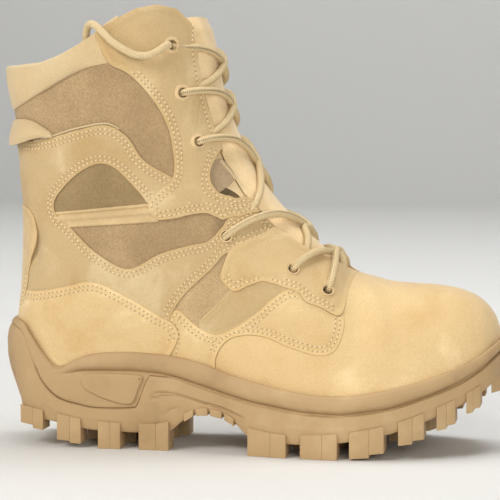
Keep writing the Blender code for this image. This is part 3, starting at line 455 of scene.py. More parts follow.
# finishes
class Wire:
    # a socket that takes part in sums, so that shader maths reads as an expression
    def __init__(self, finish, socket):
        self.finish, self.socket = finish, socket

    def sum(self, kind, other, flip=False):
        values = [other, self] if flip else [self, other]
        return self.finish.node("ShaderNodeMath", {"operation": kind}, values)

    def __add__(self, other): return self.sum("ADD", other)
    def __radd__(self, other): return self.sum("ADD", other, True)
    def __sub__(self, other): return self.sum("SUBTRACT", other)
    def __rsub__(self, other): return self.sum("SUBTRACT", other, True)
    def __mul__(self, other): return self.sum("MULTIPLY", other)
    def __rmul__(self, other): return self.sum("MULTIPLY", other, True)
    def __truediv__(self, other): return self.sum("DIVIDE", other)
    def __pow__(self, other): return self.sum("POWER", other)


class Finish:
    def __init__(self, name):
        self.material = bpy.data.materials.new(name)
        self.material.use_nodes = True
        self.nodes = self.material.node_tree.nodes
        self.links = self.material.node_tree.links
        self.shader = self.nodes["Principled BSDF"]

    def node(self, kind, settings=None, inputs=None, output=0):
        made = self.nodes.new(kind)
        for key, value in (settings or {}).items():
            if key == "stops":
                ramp = made.color_ramp
                while len(ramp.elements) < len(value):
                    ramp.elements.new(0.5)
                for stop, (place, colour) in zip(ramp.elements, value):
                    stop.position = place
                    stop.color = colour if len(colour) == 4 else (*colour, 1.0)
            else:
                setattr(made, key, value)
        pairs = inputs.items() if isinstance(inputs, dict) else enumerate(inputs or [])
        for key, value in pairs:
            if isinstance(value, Wire):
                self.links.new(value.socket, made.inputs[key])
            elif value is not None:
                made.inputs[key].default_value = value
        return Wire(self, made.outputs[output])

    def feed(self, **sockets):
        names = {"colour": "Base Color", "rough": "Roughness", "normal": "Normal", "metal": "Metallic"}
        for key, value in sockets.items():
            target = self.shader.inputs[names[key]]
            if isinstance(value, Wire):
                self.links.new(value.socket, target)
            else:
                target.default_value = value
        return self.material

    def place(self):
        return self.node("ShaderNodeTexCoord", output="Object")

    def clothMap(self):
        return self.node("ShaderNodeUVMap", {"uv_map": "cloth"})

    def noise(self, where, scale, detail=3.0, rough=0.55, distort=0.0):
        return self.node("ShaderNodeTexNoise", {}, {"Vector": where, "Scale": scale, "Detail": detail,
                                                    "Roughness": rough, "Distortion": distort})

    def ramp(self, value, stops, ease="EASE"):
        wire = self.node("ShaderNodeValToRGB", {"stops": stops}, [value])
        wire.socket.node.color_ramp.interpolation = ease
        return wire

    def mixColour(self, share, first, second, blend="MIX"):
        return self.node("ShaderNodeMix", {"data_type": "RGBA", "blend_type": blend},
                         {0: share, 6: first, 7: second}, output=2)

    def bump(self, height, depth, strength=1.0, under=None):
        inputs = {"Height": height, "Distance": depth, "Strength": strength}
        if under is not None:
            inputs["Normal"] = under
        return self.node("ShaderNodeBump", {}, inputs)


def rgba(colour, gain=1.0):
    return tuple(min(1.0, part * gain) for part in colour) + (1.0,)


suedeSet = {
    "base": (0.60, 0.435, 0.225), "pale": (0.72, 0.56, 0.32), "dark": (0.44, 0.30, 0.14),
    "nap": 1500.0, "grain": 700.0, "patch": 26.0, "rough": 0.82, "stitchRows": (2.5, 5.1),
}


def suedeFinish(name, sizes, tint=1.0, seam=True):
    made = Finish(name)
    where = made.place()
    patch = made.noise(where, sizes["patch"], 4.0, 0.6, 0.4)
    nap = made.noise(where, sizes["nap"], 4.0, 0.7)
    grain = made.noise(where, sizes["grain"], 3.0, 0.6)
    tone = made.ramp(patch, ((0.30, rgba(sizes["dark"], tint * 1.25)), (0.52, rgba(sizes["base"], tint)),
                             (0.72, rgba(sizes["pale"], tint))))
    speck = made.ramp(nap, ((0.30, (0.80, 0.78, 0.74)), (0.62, (1.10, 1.10, 1.10))))
    colour = made.mixColour(0.55, tone, speck, "MULTIPLY")
    height = nap * 0.35 + grain * 0.5
    if seam:
        gap = made.node("ShaderNodeAttribute", {"attribute_name": "edgeGap"}, output="Fac")
        # painted light on the panel edges: the cut edge (edgeGap 0) is darkened as a painted shadow line, the
        # rounded rim just inside is lightened as a painted highlight, and the pressed seam trough is slightly
        # darkened as painted shade
        rim = made.ramp(gap / 10.0, ((0.0, (0.50, 0.42, 0.32)), (0.03, (1.06, 1.04, 1.0)),
                                     (0.2, (1.04, 1.03, 1.01)), (0.38, (0.95, 0.94, 0.92)),
                                     (0.7, (1.0, 1.0, 1.0))))
        colour = made.mixColour(0.8, colour, rim, "MULTIPLY")
        trough = made.ramp(gap / 10.0, ((0.08, (1, 1, 1)), (0.38, (0.2, 0.2, 0.2)), (0.75, (1, 1, 1))),
                           "B_SPLINE")
        pressed = made.bump(trough, 0.0007, 0.6)
        normal = made.bump(height, 0.00016, 0.9, pressed)
    else:
        normal = made.bump(height, 0.00016, 0.9)
    rough = sizes["rough"] + patch * 0.1
    made.feed(colour=colour, rough=rough, normal=normal)
    made.shader.inputs["Sheen Weight"].default_value = 0.25
    made.shader.inputs["Sheen Roughness"].default_value = 0.5
    made.shader.inputs["Specular IOR Level"].default_value = 0.25
    return made.material


def clothFinish(name, thread, pale, dark, pitch=0.0011, seam=False):
    made = Finish(name)
    where = made.clothMap()
    split = made.node("ShaderNodeSeparateXYZ", {}, [where])
    along, up = split, Wire(made, split.socket.node.outputs[1])
    turn = 2 * math.pi / pitch
    warp = made.node("ShaderNodeMath", {"operation": "SINE"}, [along * turn])
    weft = made.node("ShaderNodeMath", {"operation": "SINE"}, [up * turn])
    twill = made.node("ShaderNodeMath", {"operation": "SINE"}, [(along + up) * (turn / 2)])
    weave = warp * weft * 0.5 + twill * 0.07 + 0.5
    fuzz = made.noise(made.place(), 750.0, 4.0, 0.8)
    patch = made.noise(made.place(), 38.0, 3.0, 0.6)
    tone = made.ramp(weave * 0.35 + fuzz * 0.75, ((0.30, rgba(dark)), (0.52, rgba(thread)),
                                                  (0.74, rgba(pale))))
    shade = made.ramp(patch, ((0.3, (0.88, 0.86, 0.84)), (0.7, (1.06, 1.06, 1.06))))
    colour = made.mixColour(1.0, tone, shade, "MULTIPLY")
    made.feed(colour=colour, rough=0.92, normal=made.bump(weave + fuzz * 0.4, 0.00028, 0.9))
    made.shader.inputs["Specular IOR Level"].default_value = 0.2
    made.shader.inputs["Sheen Weight"].default_value = 0.15
    return made.material


def rubberFinish(name, base, pale, dark):
    made = Finish(name)
    where = made.place()
    patch = made.noise(where, 22.0, 4.0, 0.6)
    grit = made.noise(where, 900.0, 3.0, 0.6)
    tone = made.ramp(patch, ((0.3, rgba(dark)), (0.52, rgba(base)), (0.75, rgba(pale))))
    made.feed(colour=tone, rough=0.5 + patch * 0.25, normal=made.bump(grit, 0.00008, 0.7))
    made.shader.inputs["Specular IOR Level"].default_value = 0.35
    return made.material


def threadFinish(name, base, pale):
    made = Finish(name)
    fuzz = made.noise(made.place(), 2600.0, 2.0)
    tone = made.ramp(fuzz, ((0.35, rgba(base)), (0.65, rgba(pale))))
    made.feed(colour=tone, rough=0.75, normal=made.bump(fuzz, 0.0001, 0.6))
    return made.material


suede = suedeFinish("suede", suedeSet)
# the vamp's suede is a lightened copy (tint 1.14): painted light on the toe, which faces up towards the lamps
litVampSuede = suedeFinish("suede_vamp", {**suedeSet, "patch": 14.0}, 1.14, seam=False)
collarLeather = suedeFinish("collar_leather", {**suedeSet, "base": (0.93, 0.78, 0.52),
                                               "pale": (0.96, 0.83, 0.58),
                                               "dark": (0.86, 0.70, 0.44), "patch": 14.0}, 1.06)
cloth = clothFinish("woven_cloth", (0.43, 0.295, 0.155), (0.57, 0.41, 0.24), (0.29, 0.19, 0.09))
windowCloth = clothFinish("window_cloth", (0.35, 0.245, 0.12), (0.44, 0.315, 0.165), (0.25, 0.17, 0.08),
                          0.0008)
bandCloth = clothFinish("band_cloth", (0.60, 0.44, 0.235), (0.68, 0.51, 0.29), (0.50, 0.35, 0.17), 0.0008)
liningCloth = clothFinish("lining_cloth", (0.34, 0.27, 0.16), (0.46, 0.37, 0.23), (0.20, 0.15, 0.08), 0.0016)
thread = threadFinish("thread", (0.70, 0.53, 0.30), (0.88, 0.72, 0.46))
# dark colour for the needle holes: painted shade beside the stitches
needleHoleShade = threadFinish("needle_hole_shade", (0.33, 0.215, 0.10), (0.42, 0.28, 0.14))
rubber = rubberFinish("sole_rubber", (0.455, 0.305, 0.155), (0.53, 0.37, 0.20), (0.39, 0.255, 0.125))
print("boot: finishes mixed")


# the upper's wall
wallSet = {"thick": 2.2, "notch": ((137.2, 179.2), (132.4, 170.4), (131.5, 161.6), (136.3, 154.5),
                                   (145.8, 150.8), (156, 152), (175, 165), (155, 190)),
           "vampEdge": ((30, 130), (58, 134), (67.5, 138), (73.5, 150), (78, 165), (85, 180), (88, 190),
                        (92, 192), (108, 195), (118, 200), (300, 204))}


def curveSpan(a, b, c, d, step):
    knots = [0.0]
    for p, q in ((a, b), (b, c), (c, d)):
        knots.append(knots[-1] + max(np.linalg.norm(q - p), 1e-6) ** 0.5)
    t0, t1, t2, t3 = knots
    span = []
    for t in np.linspace(t1, t2, max(2, int(np.linalg.norm(c - b) / step) + 1))[:-1]:
        ab = (a * (t1 - t) + b * (t - t0)) / (t1 - t0)
        bc = (b * (t2 - t) + c * (t - t1)) / (t2 - t1)
        cd = (c * (t3 - t) + d * (t - t2)) / (t3 - t2)
        abc = (ab * (t2 - t) + bc * (t - t0)) / (t2 - t0)
        bcd = (bc * (t3 - t) + cd * (t - t1)) / (t3 - t1)
        span.append((abc * (t2 - t) + bcd * (t - t1)) / (t2 - t1))
    return span


def closedCurve(points, step=1.0):
    rows = np.array(points, float)
    around = [np.roll(rows, shift, axis=0) for shift in (1, 0, -1, -2)]
    return np.array([spot for ends in zip(*around) for spot in curveSpan(*ends, step)])


def smoothOpen(points, step):
    rows = np.array(points, float)
    padded = np.vstack([2 * rows[0] - rows[1], rows, 2 * rows[-1] - rows[-2]])
    ends = zip(padded[:-3], padded[1:-2], padded[2:-1], padded[3:])
    return np.array([spot for four in ends for spot in curveSpan(*four, step)] + [rows[-1]])


def growLine(line, gap, step=0.8):
    points = closedCurve(line, step)
    tangent = np.roll(points, -1, axis=0) - np.roll(points, 1, axis=0)
    tangent /= np.linalg.norm(tangent, axis=1, keepdims=True)
    out = np.column_stack([tangent[:, 1], -tangent[:, 0]]) * (1 if ringArea(points) > 0 else -1)
    return points + out * gap


def insideRing(u, v, ring):
    u, v = np.asarray(u), np.asarray(v)
    inside = np.zeros(u.shape, bool)
    for (ax, ay), (bx, by) in zip(ring, np.roll(ring, -1, axis=0)):
        if ay == by:
            continue
        crossing = ((ay > v) != (by > v)) & (u < (bx - ax) * (v - ay) / (by - ay) + ax)
        inside ^= crossing
    return inside


eyelets = ((109, 241), (115, 213), (124.4, 184), (141.5, 128.5), (181, 108.6), (201.5, 96.2))
eyeletSet = {"hole": 2.9, "flange": 5.1, "rim": 3.9, "seat": 1.75, "raised": 3, "turns": 28, "clear": 3.3}


def openCells():
    centre = (skin[:-1, :-1] + skin[1:, 1:]) / 2
    shut = growLine(wallSet["notch"], 1.6)
    opened = insideRing(centre[..., 0], centre[..., 2], shut)
    for along, height in eyelets:
        for side in (-1, 1):
            spot = np.array(lastPoint(along, height, side)[0])
            opened |= np.linalg.norm(centre - spot, axis=-1) < eyeletSet["clear"]
    return opened


def cutWith(target, cutter, kind="DIFFERENCE"):
    knife = target.modifiers.new("cut", "BOOLEAN")
    knife.operation = kind
    knife.solver = "MANIFOLD"
    knife.object = cutter
    pick(target)
    bpy.ops.object.modifier_apply(modifier=knife.name)


def sidePrism(name, outline, low, high):
    mesh = bmesh.new()
    near = [mesh.verts.new(toWorld((x, low, z))) for x, z in outline]
    far = [mesh.verts.new(toWorld((x, high, z))) for x, z in outline]
    mesh.faces.new(near)
    mesh.faces.new(far[::-1])
    for i in range(len(near)):
        j = (i + 1) % len(near)
        mesh.faces.new([near[j], near[i], far[i], far[j]])
    bmesh.ops.recalc_face_normals(mesh, faces=mesh.faces)
    data = bpy.data.meshes.new(name)
    mesh.to_mesh(data)
    obj = bpy.data.objects.new(name, data)
    bpy.context.scene.collection.objects.link(obj)
    return obj


def buildWall(sizes):
    count, rows = skin.shape[:2]
    outer = skin.reshape(-1, 3)
    inner = (skin - skinNormals * sizes["thick"]).reshape(-1, 3)
    verts = np.concatenate([outer, inner])
    at = lambda i, j, layer=0: layer * count * rows + i * rows + j
    faces, kinds = [], []
    opened = openCells()
    for i, j in zip(*np.nonzero(opened)):
        for ends, beyond in ((((i, j), (i + 1, j)), (i, j - 1)), (((i + 1, j), (i + 1, j + 1)), (i + 1, j)),
                             (((i + 1, j + 1), (i, j + 1)), (i, j + 1)), (((i, j + 1), (i, j)), (i - 1, j))):
            far = min(beyond[0], count - 2), min(beyond[1], rows - 2)
            if not opened[far]:
                (a, b), (c, d) = ends
                faces.append((at(a, b), at(c, d), at(c, d, 1), at(a, b, 1)))
                kinds.append(1)
    for i in range(count - 1):
        for j in range(rows - 1):
            if opened[i, j]:
                continue
            faces.append((at(i, j), at(i, j + 1), at(i + 1, j + 1), at(i + 1, j)))
            x, z = (skin[i, j, (0, 2),] + skin[i + 1, j + 1, (0, 2),]) / 2
            kinds.append(1 if x > readLine(sizes["vampEdge"], z) else 0)
            faces.append((at(i, j, 1), at(i + 1, j, 1), at(i + 1, j + 1, 1), at(i, j + 1, 1)))
            kinds.append(2)
        faces.append((at(i, 0), at(i + 1, 0), at(i + 1, 0, 1), at(i, 0, 1)))
        kinds.append(1)
        top = rows - 1
        onRidge = all(np.linalg.norm(skin[k, top] - skin[count - 1 - k, top]) < 0.05 for k in (i, i + 1))
        if (not onRidge or abs(i + 0.5 - middle) < 3) and not opened[i, top - 1]:
            faces.append((at(i, top), at(i, top, 1), at(i + 1, top, 1), at(i + 1, top)))
            kinds.append(1)
    uv = np.concatenate([np.stack([skinAcross, skinUp], -1).reshape(-1, 2)] * 2)
    wall = finishPiece("upper_wall", verts, faces, cloth, ("upper",), 40, uv=uv)
    for finish in (litVampSuede, liningCloth):
        wall.data.materials.append(finish)
    wall.data.polygons.foreach_set("material_index", kinds)
    edit = bmesh.new()
    edit.from_mesh(wall.data)
    bmesh.ops.remove_doubles(edit, verts=edit.verts, dist=0.02 * mm)
    bmesh.ops.dissolve_degenerate(edit, dist=0.005 * mm, edges=edit.edges)
    edit.to_mesh(wall.data)
    edit.free()
    return wall


wall = buildWall(wallSet)
print("boot: wall built", len(wall.data.polygons))


# leather pieces laid on the wall
edgeRings = ((0.0, -0.4), (0.0, 0.6), (0.1, 0.85), (0.3, 0.97), (0.7, 1.0), (1.3, 1.0))
panelRings = {}


def resampleRing(ring, step):
    ring = np.vstack([ring, ring[:1]])
    fine = []
    for a, b in zip(ring, ring[1:]):
        pieces = max(1, int(np.linalg.norm(b - a) / 0.5))
        fine += [a + (b - a) * k / pieces for k in range(pieces)]
    fine = np.array(fine + [ring[-1]])
    spots = onSkin(fine[:, 0], fine[:, 1])
    length = runLength(spots)
    even = np.linspace(0, length[-1], max(12, int(length[-1] / step)) + 1)[:-1]
    return np.column_stack([np.interp(even, length, fine[:, k]) for k in range(2)])


def relaxRing(ring, turns):
    for _turn in range(turns):
        ring = (np.roll(ring, 1, axis=0) + 2 * ring + np.roll(ring, -1, axis=0)) / 4
    return ring


def ringFrame(ring):
    spots = onSkin(ring[:, 0], ring[:, 1])
    tangent = np.roll(spots, -1, axis=0) - np.roll(spots, 1, axis=0)
    tangent /= np.maximum(np.linalg.norm(tangent, axis=1, keepdims=True), 1e-9)
    normal = sample(skinNormals, ring[:, 0], ring[:, 1])
    inward = np.cross(normal, tangent)
    return spots, tangent, normal, inward * (-1 if ringArea(ring) > 0 else 1)


def insetRing(ring, gap):
    spots, _tangent, _normal, inward = ringFrame(ring)
    u, v = ring[:, 0], ring[:, 1]
    uu = np.clip(u, 0.3, skin.shape[0] - 1.4)
    stepU = (onSkin(uu + 0.3, v) - onSkin(uu - 0.3, v)) / 0.6
    vv = np.clip(v, 0.3, skin.shape[1] - 1.4)
    stepV = (onSkin(u, vv + 0.3) - onSkin(u, vv - 0.3)) / 0.6
    moved = []
    for k in range(len(ring)):
        matrix = np.column_stack([stepU[k], stepV[k]])
        change, _rest, _rank, _sizes = np.linalg.lstsq(matrix, inward[k] * gap, rcond=None)
        moved.append(ring[k] + change)
    return relaxRing(np.array(moved), 1 + int(gap * 2))


def nearestGap(spots, line):
    return np.array([np.min(np.linalg.norm(line - spot, axis=1)) for spot in spots])


def layPanel(name, ring, top, finish, replaced=(), swell=0.35, liftAt=None, low=-0.3, rim=1.0,
             holes=()):
    ring = relaxRing(resampleRing(ring, 1.15), 3)
    panelRings[name] = ring
    edge3d = onSkin(ring[:, 0], ring[:, 1])
    rings = [ring] + [insetRing(ring, gap * rim) for gap, _share in edgeRings[2:]]
    inner = rings[-1]
    grid = np.stack(np.meshgrid(np.arange(skin.shape[0]), np.arange(skin.shape[1]), indexing="ij"), -1)
    grid = grid.reshape(-1, 2).astype(float)
    keep = (grid >= inner.min(0) - 1).all(1) & (grid <= inner.max(0) + 1).all(1)
    grid = grid[keep]
    grid = grid[insideRing(grid[:, 0], grid[:, 1], inner)]
    inner3d = onSkin(inner[:, 0], inner[:, 1])
    grid = grid[nearestGap(onSkin(grid[:, 0], grid[:, 1]), inner3d) > 0.9]
    count = len(ring)
    loop = [(k, (k + 1) % count) for k in range(count)]
    starts = []
    for hole in holes:
        hole3d = onSkin(hole[:, 0], hole[:, 1])
        spots = onSkin(grid[:, 0], grid[:, 1])
        grid = grid[np.linalg.norm(spots - hole3d.mean(0), axis=1) > eyeletSet["hole"] + 0.9]
        starts.append(count + sum(len(other) for other in holes[:len(starts)]))
        loop += [(starts[-1] + k, starts[-1] + (k + 1) % len(hole)) for k in range(len(hole))]
    flat = np.concatenate([inner, *holes, grid])
    scale = np.array([2.2, 2.0])
    made = geometry.delaunay_2d_cdt([Vector(p * scale) for p in flat], loop, [], 1, 1e-5)
    spread = np.array([tuple(p) for p in made[0]]) / scale
    tris = [tuple(face) for face in made[2]]
    for hole in holes:
        middles = spread[np.array(tris)].mean(1)
        shut = insideRing(middles[:, 0], middles[:, 1], hole)
        tris = [tri for tri, drop in zip(tris, shut) if not drop]
    area = [0.5 * np.cross(spread[t[1]] - spread[t[0]], spread[t[2]] - spread[t[0]]) for t in tris[:40]]
    if np.sum(area) > 0:
        tris = [t[::-1] for t in tris]
    ringOf = {}
    for place, sources in enumerate(made[3]):
        for source in sources:
            ringOf[source] = place
    faces, params = [], []

    def addRow(points, lift):
        first = len(params)
        params.extend([(p[0], p[1], l) for p, l in zip(points, np.broadcast_to(lift, len(points)))])
        return list(range(first, first + len(points)))

    rows = [addRow(ring, low)]
    for (gapHere, share), line in zip(edgeRings[1:-1], [ring] + rings[1:-1]):
        rows.append(addRow(line, top * share))
    bottomRing = rows[0]
    gaps = nearestGap(onSkin(spread[:, 0], spread[:, 1]), edge3d)
    lift = top + swell * easeStep(gaps, 4.0, 16.0)
    topIndex = addRow(spread, lift)
    bottomIndex = addRow(spread, low)
    clockwise = ringArea(ring) < 0
    rows.append([topIndex[ringOf[k]] for k in range(count)])
    for a, b in zip(rows, rows[1:]):
        for k in range(count):
            n = (k + 1) % count
            quad = (a[k], a[n], b[n], b[k])
            faces.append(quad if clockwise else quad[::-1])
    under = [bottomIndex[ringOf[k]] for k in range(count)]
    for k in range(count):
        n = (k + 1) % count
        quad = (bottomRing[n], bottomRing[k], under[k], under[n])
        faces.append(quad if clockwise else quad[::-1])
    for start, hole in zip(starts, holes):
        lip = [ringOf[start + k] for k in range(len(hole))]
        for here, there in zip(lip, lip[1:] + lip[:1]):
            faces.append((topIndex[here], topIndex[there], bottomIndex[there], bottomIndex[here]))
    faces += [tuple(topIndex[i] for i in t) for t in tris]
    faces += [tuple(bottomIndex[i] for i in t[::-1]) for t in tris]
    params = np.array(params)
    if liftAt is not None:
        spot = onSkin(params[:, 0], params[:, 1])
        high = params[:, 2] > 0
        params[high, 2] = liftAt(spot, params[:, 2])[high]
    verts = onSkin(params[:, 0], params[:, 1], params[:, 2])
    uv = np.stack([sample(skinAcross, params[:, 0], params[:, 1]),
                   sample(skinUp, params[:, 0], params[:, 1])], -1)
    edge = np.concatenate([[0] * count * 2, *[[gapHere * rim] * count for gapHere, _s in edgeRings[2:-1]],
                           gaps, gaps])
    piece = finishPiece(name, verts, faces, finish, replaced, 50, uv=uv, edge=edge)
    if len(holes):
        turnOutwards(piece)
    return piece


def turnOutwards(piece, merge=0.0):
    edit = bmesh.new()
    edit.from_mesh(piece.data)
    if merge:
        bmesh.ops.remove_doubles(edit, verts=edit.verts, dist=merge * mm)
    bmesh.ops.recalc_face_normals(edit, faces=edit.faces)
    edit.to_mesh(piece.data)
    edit.free()


def eyeletHoles(ring, side):
    holes = []
    for along, height in eyelets:
        spot, normal = lastPoint(along, height, side)
        turn = Vector(normal).to_track_quat("Z", "Y").to_matrix()
        circle = [turn @ Vector((math.cos(t), math.sin(t), 0)) * eyeletSet["hole"]
                  for t in np.linspace(0, 2 * math.pi, 21)[:-1]]
        points = np.array([np.array(spot) + np.array(way) for way in circle])
        hole = findOnSkin(points[:, (0, 2)], side)
        middleSpot = hole.mean(0)
        if insideRing(middleSpot[0], middleSpot[1], ring):
            holes.append(hole)
    return holes


def ringFromSide(points, side):
    return findOnSkin(closedCurve(points, 1.5), side)


def ringRoundHeel(points):
    line = smoothOpen(points, 1.5)
    outer = findOnSkin(line, -1)
    inner = np.column_stack([2 * middle - outer[::-1, 0], outer[::-1, 1]])
    return np.vstack([outer, inner])


panels = (
    {"name": "strip_cloth", "top": 0.3, "round": False, "finish": "strip", "swell": 0.0,
     "line": ((138, 120), (148, 112), (150, 101), (146.5, 94), (137, 84), (127.5, 75.5), (116, 70), (104, 75),
              (112, 90), (125, 104))},
    {"name": "strip_leather", "top": 0.6, "round": False, "finish": "shade", "swell": 0.0,
     "line": ((144.5, 98), (156, 101.5), (163.4, 103.5), (175, 102), (180, 97), (172, 88), (156, 77),
              (142, 70), (132, 69), (126, 72), (125.5, 77.6), (133, 85), (141, 92))},
    {"name": "vamp_leaf", "top": 0.75, "round": False, "finish": "counter", "swell": 0.5,
     "replaces": "vamp_leaf",
     "line": ((103, 46), (107, 60), (109, 69), (106, 76), (111.2, 84.6), (124.8, 74.2), (136.6, 69.8),
              (156.2, 79.9), (174.8, 95.4), (180, 98), (190, 97), (200, 92), (210, 86.5), (212.6, 80),
              (212.3, 72.8), (208.1, 62.6), (200.6, 59.6), (183.3, 63.3), (164.4, 69.9), (150.3, 69.7),
              (141.6, 65.3), (136, 56), (135, 42))},
    {"name": "quarter", "top": 1.15, "round": True, "finish": "quarter", "swell": 0.35, "replaces": "quarter",
     "line": ((14, 185.5), (20, 184.5), (33.4, 186), (54.7, 191.7), (72.1, 194.1), (84, 187), (92.7, 174),
              (106.2, 165.2), (114, 160), (106, 151), (95.8, 147), (92.8, 151.2), (83.4, 161.5),
              (74.5, 169.3), (67, 171.3), (59, 168.9), (49.6, 162.8), (42.5, 156), (36.6, 148.5),
              (36.8, 141.5), (46.5, 133), (62.2, 118), (81.6, 108.1), (89.3, 110.6), (101.1, 117.4),
              (120, 123), (131.4, 125.5), (137.8, 132), (144, 141), (158, 147), (174, 156), (181, 140),
              (163, 127), (141.5, 118), (135, 110.7), (115.5, 91.9), (108.1, 79.8), (106, 74), (98, 75),
              (88, 81), (74, 89), (64, 94), (57, 95.5), (42, 92.5), (24, 89), (14, 88.5))},
    {"name": "eyestay_foot", "top": 1.5, "round": False, "finish": "suede", "swell": 0.2,
     "replaces": "eyestay_foot",
     "line": ((145, 122), (163, 130), (182, 144), (222, 122), (216, 106), (213.5, 98), (212.5, 88),
              (210, 81.8), (198.1, 86.9), (188.1, 90.9), (186.7, 94.3), (174.8, 98.9), (163.4, 101.6),
              (156.3, 99.2), (147.9, 95.5), (143, 97.8), (138, 103.6), (139.2, 108.4))},
    {"name": "heel_counter", "top": 1.55, "round": True, "finish": "counter", "swell": 0.6,
     "replaces": "heel_counter",
     "line": ((14, 93.4), (22.9, 93.2), (41.6, 96.5), (57.5, 100.2), (65.6, 98.8), (77.4, 93.3), (91.2, 86),
              (102, 79.6), (110.2, 75.8), (113.3, 69.1), (111, 62.4), (105, 52), (100, 47), (84, 48),
              (62, 48), (47, 43), (38, 40), (31, 44), (22, 54), (14, 62))},
    {"name": "eyestay", "top": 1.6, "round": False, "finish": "stay", "swell": 0.3, "replaces": "eyestay",
     "line": ((73.5, 230.5), (68.5, 240.5), (64.5, 250), (68, 256), (86, 268), (101, 274), (116, 268),
              (124, 256), (132, 232), (140, 205), (150, 186), (137.2, 179.2), (132.4, 170.4), (131.5, 161.6),
              (136.3, 154.5), (145.8, 150.8), (157, 152), (174, 158), (172, 146), (157, 141.5), (146, 139.2),
              (137.8, 138.3), (128.5, 141.8), (107.7, 138.3), (100, 138.3), (95.3, 147.6), (102, 155.3),
              (109.7, 162), (109.5, 183.5), (105.2, 198.3), (97.4, 211.2), (84.3, 224.7))},
)
finishes = {
    "suede": suede,
    # stay and quarter are darkened, and counter (also used on the vamp leaf) lightened, copies of one suede:
    # painted shade on the shaft and painted light on the foot
    "stay": suedeFinish("suede_stay_shaded", suedeSet, 0.92),
    "quarter": suedeFinish("suede_quarter_shaded", suedeSet, 0.88),
    "counter": suedeFinish("suede_counter_lit", suedeSet, 1.1),
    "shade": suedeFinish("suede_shade", suedeSet, 0.86),
    "strip": clothFinish("strip_cloth", (0.54, 0.38, 0.20), (0.68, 0.51, 0.30), (0.38, 0.25, 0.12), 0.0013),
}


def taperLobe(spot, lift):
    # the lobe's front runs out into the vamp, as one leather
    return lift * (1 - 0.93 * easeStep(spot[:, 0], 203, 212) * easeStep(spot[:, 2], 82, 92))


def taperLeaf(spot, lift):
    return lift * (1 - 0.45 * easeStep(spot[:, 0], 170, 208))


def gapeStay(spot, lift):
    fold = np.exp(-(((spot[:, 2] - 120) / 11.0) ** 2)) * easeStep(spot[:, 0], 15, 22) * (spot[:, 1] < 0)
    return lift + 2.2 * fold


tapers = {"eyestay_foot": taperLobe, "vamp_leaf": taperLeaf}
pieces = {}
for row in panels:
    for side, tail in (((0, ""),) if row["round"] else ((-1, "_outer"), (1, "_inner"))):
        ring = ringRoundHeel(row["line"]) if row["round"] else ringFromSide(row["line"], side)
        name = row["name"] + tail
        stands = (row["replaces"] + tail,) if "replaces" in row else ()
        holes = [hole for where in ((side,) if side else (-1, 1)) for hole in eyeletHoles(ring, where)]
        pieces[name] = layPanel(name, ring, row["top"], finishes[row["finish"]], stands,
                                swell=row["swell"], liftAt=tapers.get(row["name"]),
                                holes=holes if "replaces" in row else ())
        print("boot: laid", name, len(pieces[name].data.polygons))

stayLine = ((14, 145.6), (18.5, 143.2), (22.1, 138.9), (24.8, 128), (23.8, 120), (19.4, 109.9), (16.2, 92.4),
            (11.7, 79.8), (9.4, 66))
stayRing = ringRoundHeel(stayLine)
layPanel("backstay", stayRing, 2.1, suede, swell=0.2, liftAt=gapeStay, low=0.6)


# seams: double rows of stitches along the leather's edges
stitchSet = {"pitch": 2.9, "long": 1.95, "thick": 0.4, "rows": (2.4, 5.0), "sides": 5, "hole": 0.5}


def walkRing(spots, pitch):
    loop = np.vstack([spots, spots[:1]])
    length = runLength(loop)
    count = max(4, int(length[-1] / pitch))
    return np.linspace(0, length[-1], count + 1)[:-1], length


def sewStitches(name, lines, sizes, finish=None):
    verts, faces = [], []
    ringSides = sizes["sides"]
    for spot, forward, normal in lines:
        side = np.cross(normal, forward)
        half = sizes["long"] / 2
        first = len(verts)
        verts.append(spot - forward * half - normal * 0.25)
        for reach in (-0.55, 0.55):
            for k in range(ringSides):
                turn = 2 * math.pi * k / ringSides
                verts.append(spot + forward * half * reach + (side * math.cos(turn) + normal * math.sin(turn))
                             * sizes["thick"] + normal * 0.1)
        verts.append(spot + forward * half - normal * 0.25)
        tip = len(verts) - 1
        for k in range(ringSides):
            n = (k + 1) % ringSides
            a, b = first + 1 + k, first + 1 + n
            c, d = a + ringSides, b + ringSides
            faces += [(first, b, a), (a, b, d, c), (tip, c, d)]
    return finishPiece(name, verts, faces, finish or thread, (), 60)


def pierceHoles(name, lines, sizes):
    # each mark is a small dark disc between stitches: painted shade in the needle hole
    verts, faces = [], []
    for spot, forward, normal in lines:
        side = np.cross(normal, forward)
        centre = spot - forward * stitchSet["pitch"] / 2 + normal * 0.05
        first = len(verts)
        for k in range(6):
            turn = math.pi * k / 3
            verts.append(centre + (forward * math.cos(turn) + side * math.sin(turn)) * sizes["hole"])
        verts.append(centre + normal * 0.02)
        verts.append(centre - normal * 0.25)
        for k in range(6):
            n = (k + 1) % 6
            faces += [(first + k, first + n, first + 6), (first + n, first + k, first + 7)]
    return finishPiece(name, verts, faces, needleHoleShade, (), 60)


def rowMarks(row, top, taper=None, closed=True):
    spots = onSkin(row[:, 0], row[:, 1], np.full(len(row), top))
    marks, length = walkRing(spots, stitchSet["pitch"])
    if not closed:
        marks = marks[marks < length[-2] - 1]
    loop = np.vstack([row, row[:1]])
    here = []
    for step in (-0.6, 0.0, 0.6):
        columns = [np.interp(marks + step, length, line, period=length[-1]) for line in loop.T]
        here.append(np.column_stack(columns))
    here = np.stack(here)
    lift = np.full(here.shape[1], top)
    if taper:
        lift = taper(onSkin(here[1, :, 0], here[1, :, 1]), lift)
    where = np.stack([onSkin(here[k, :, 0], here[k, :, 1], lift) for k in range(3)])
    forward = where[2] - where[0]
    forward /= np.maximum(np.linalg.norm(forward, axis=1, keepdims=True), 1e-9)
    normal = sample(skinNormals, here[1, :, 0], here[1, :, 1])
    return here[1], where[1], forward, normal / np.linalg.norm(normal, axis=1, keepdims=True)


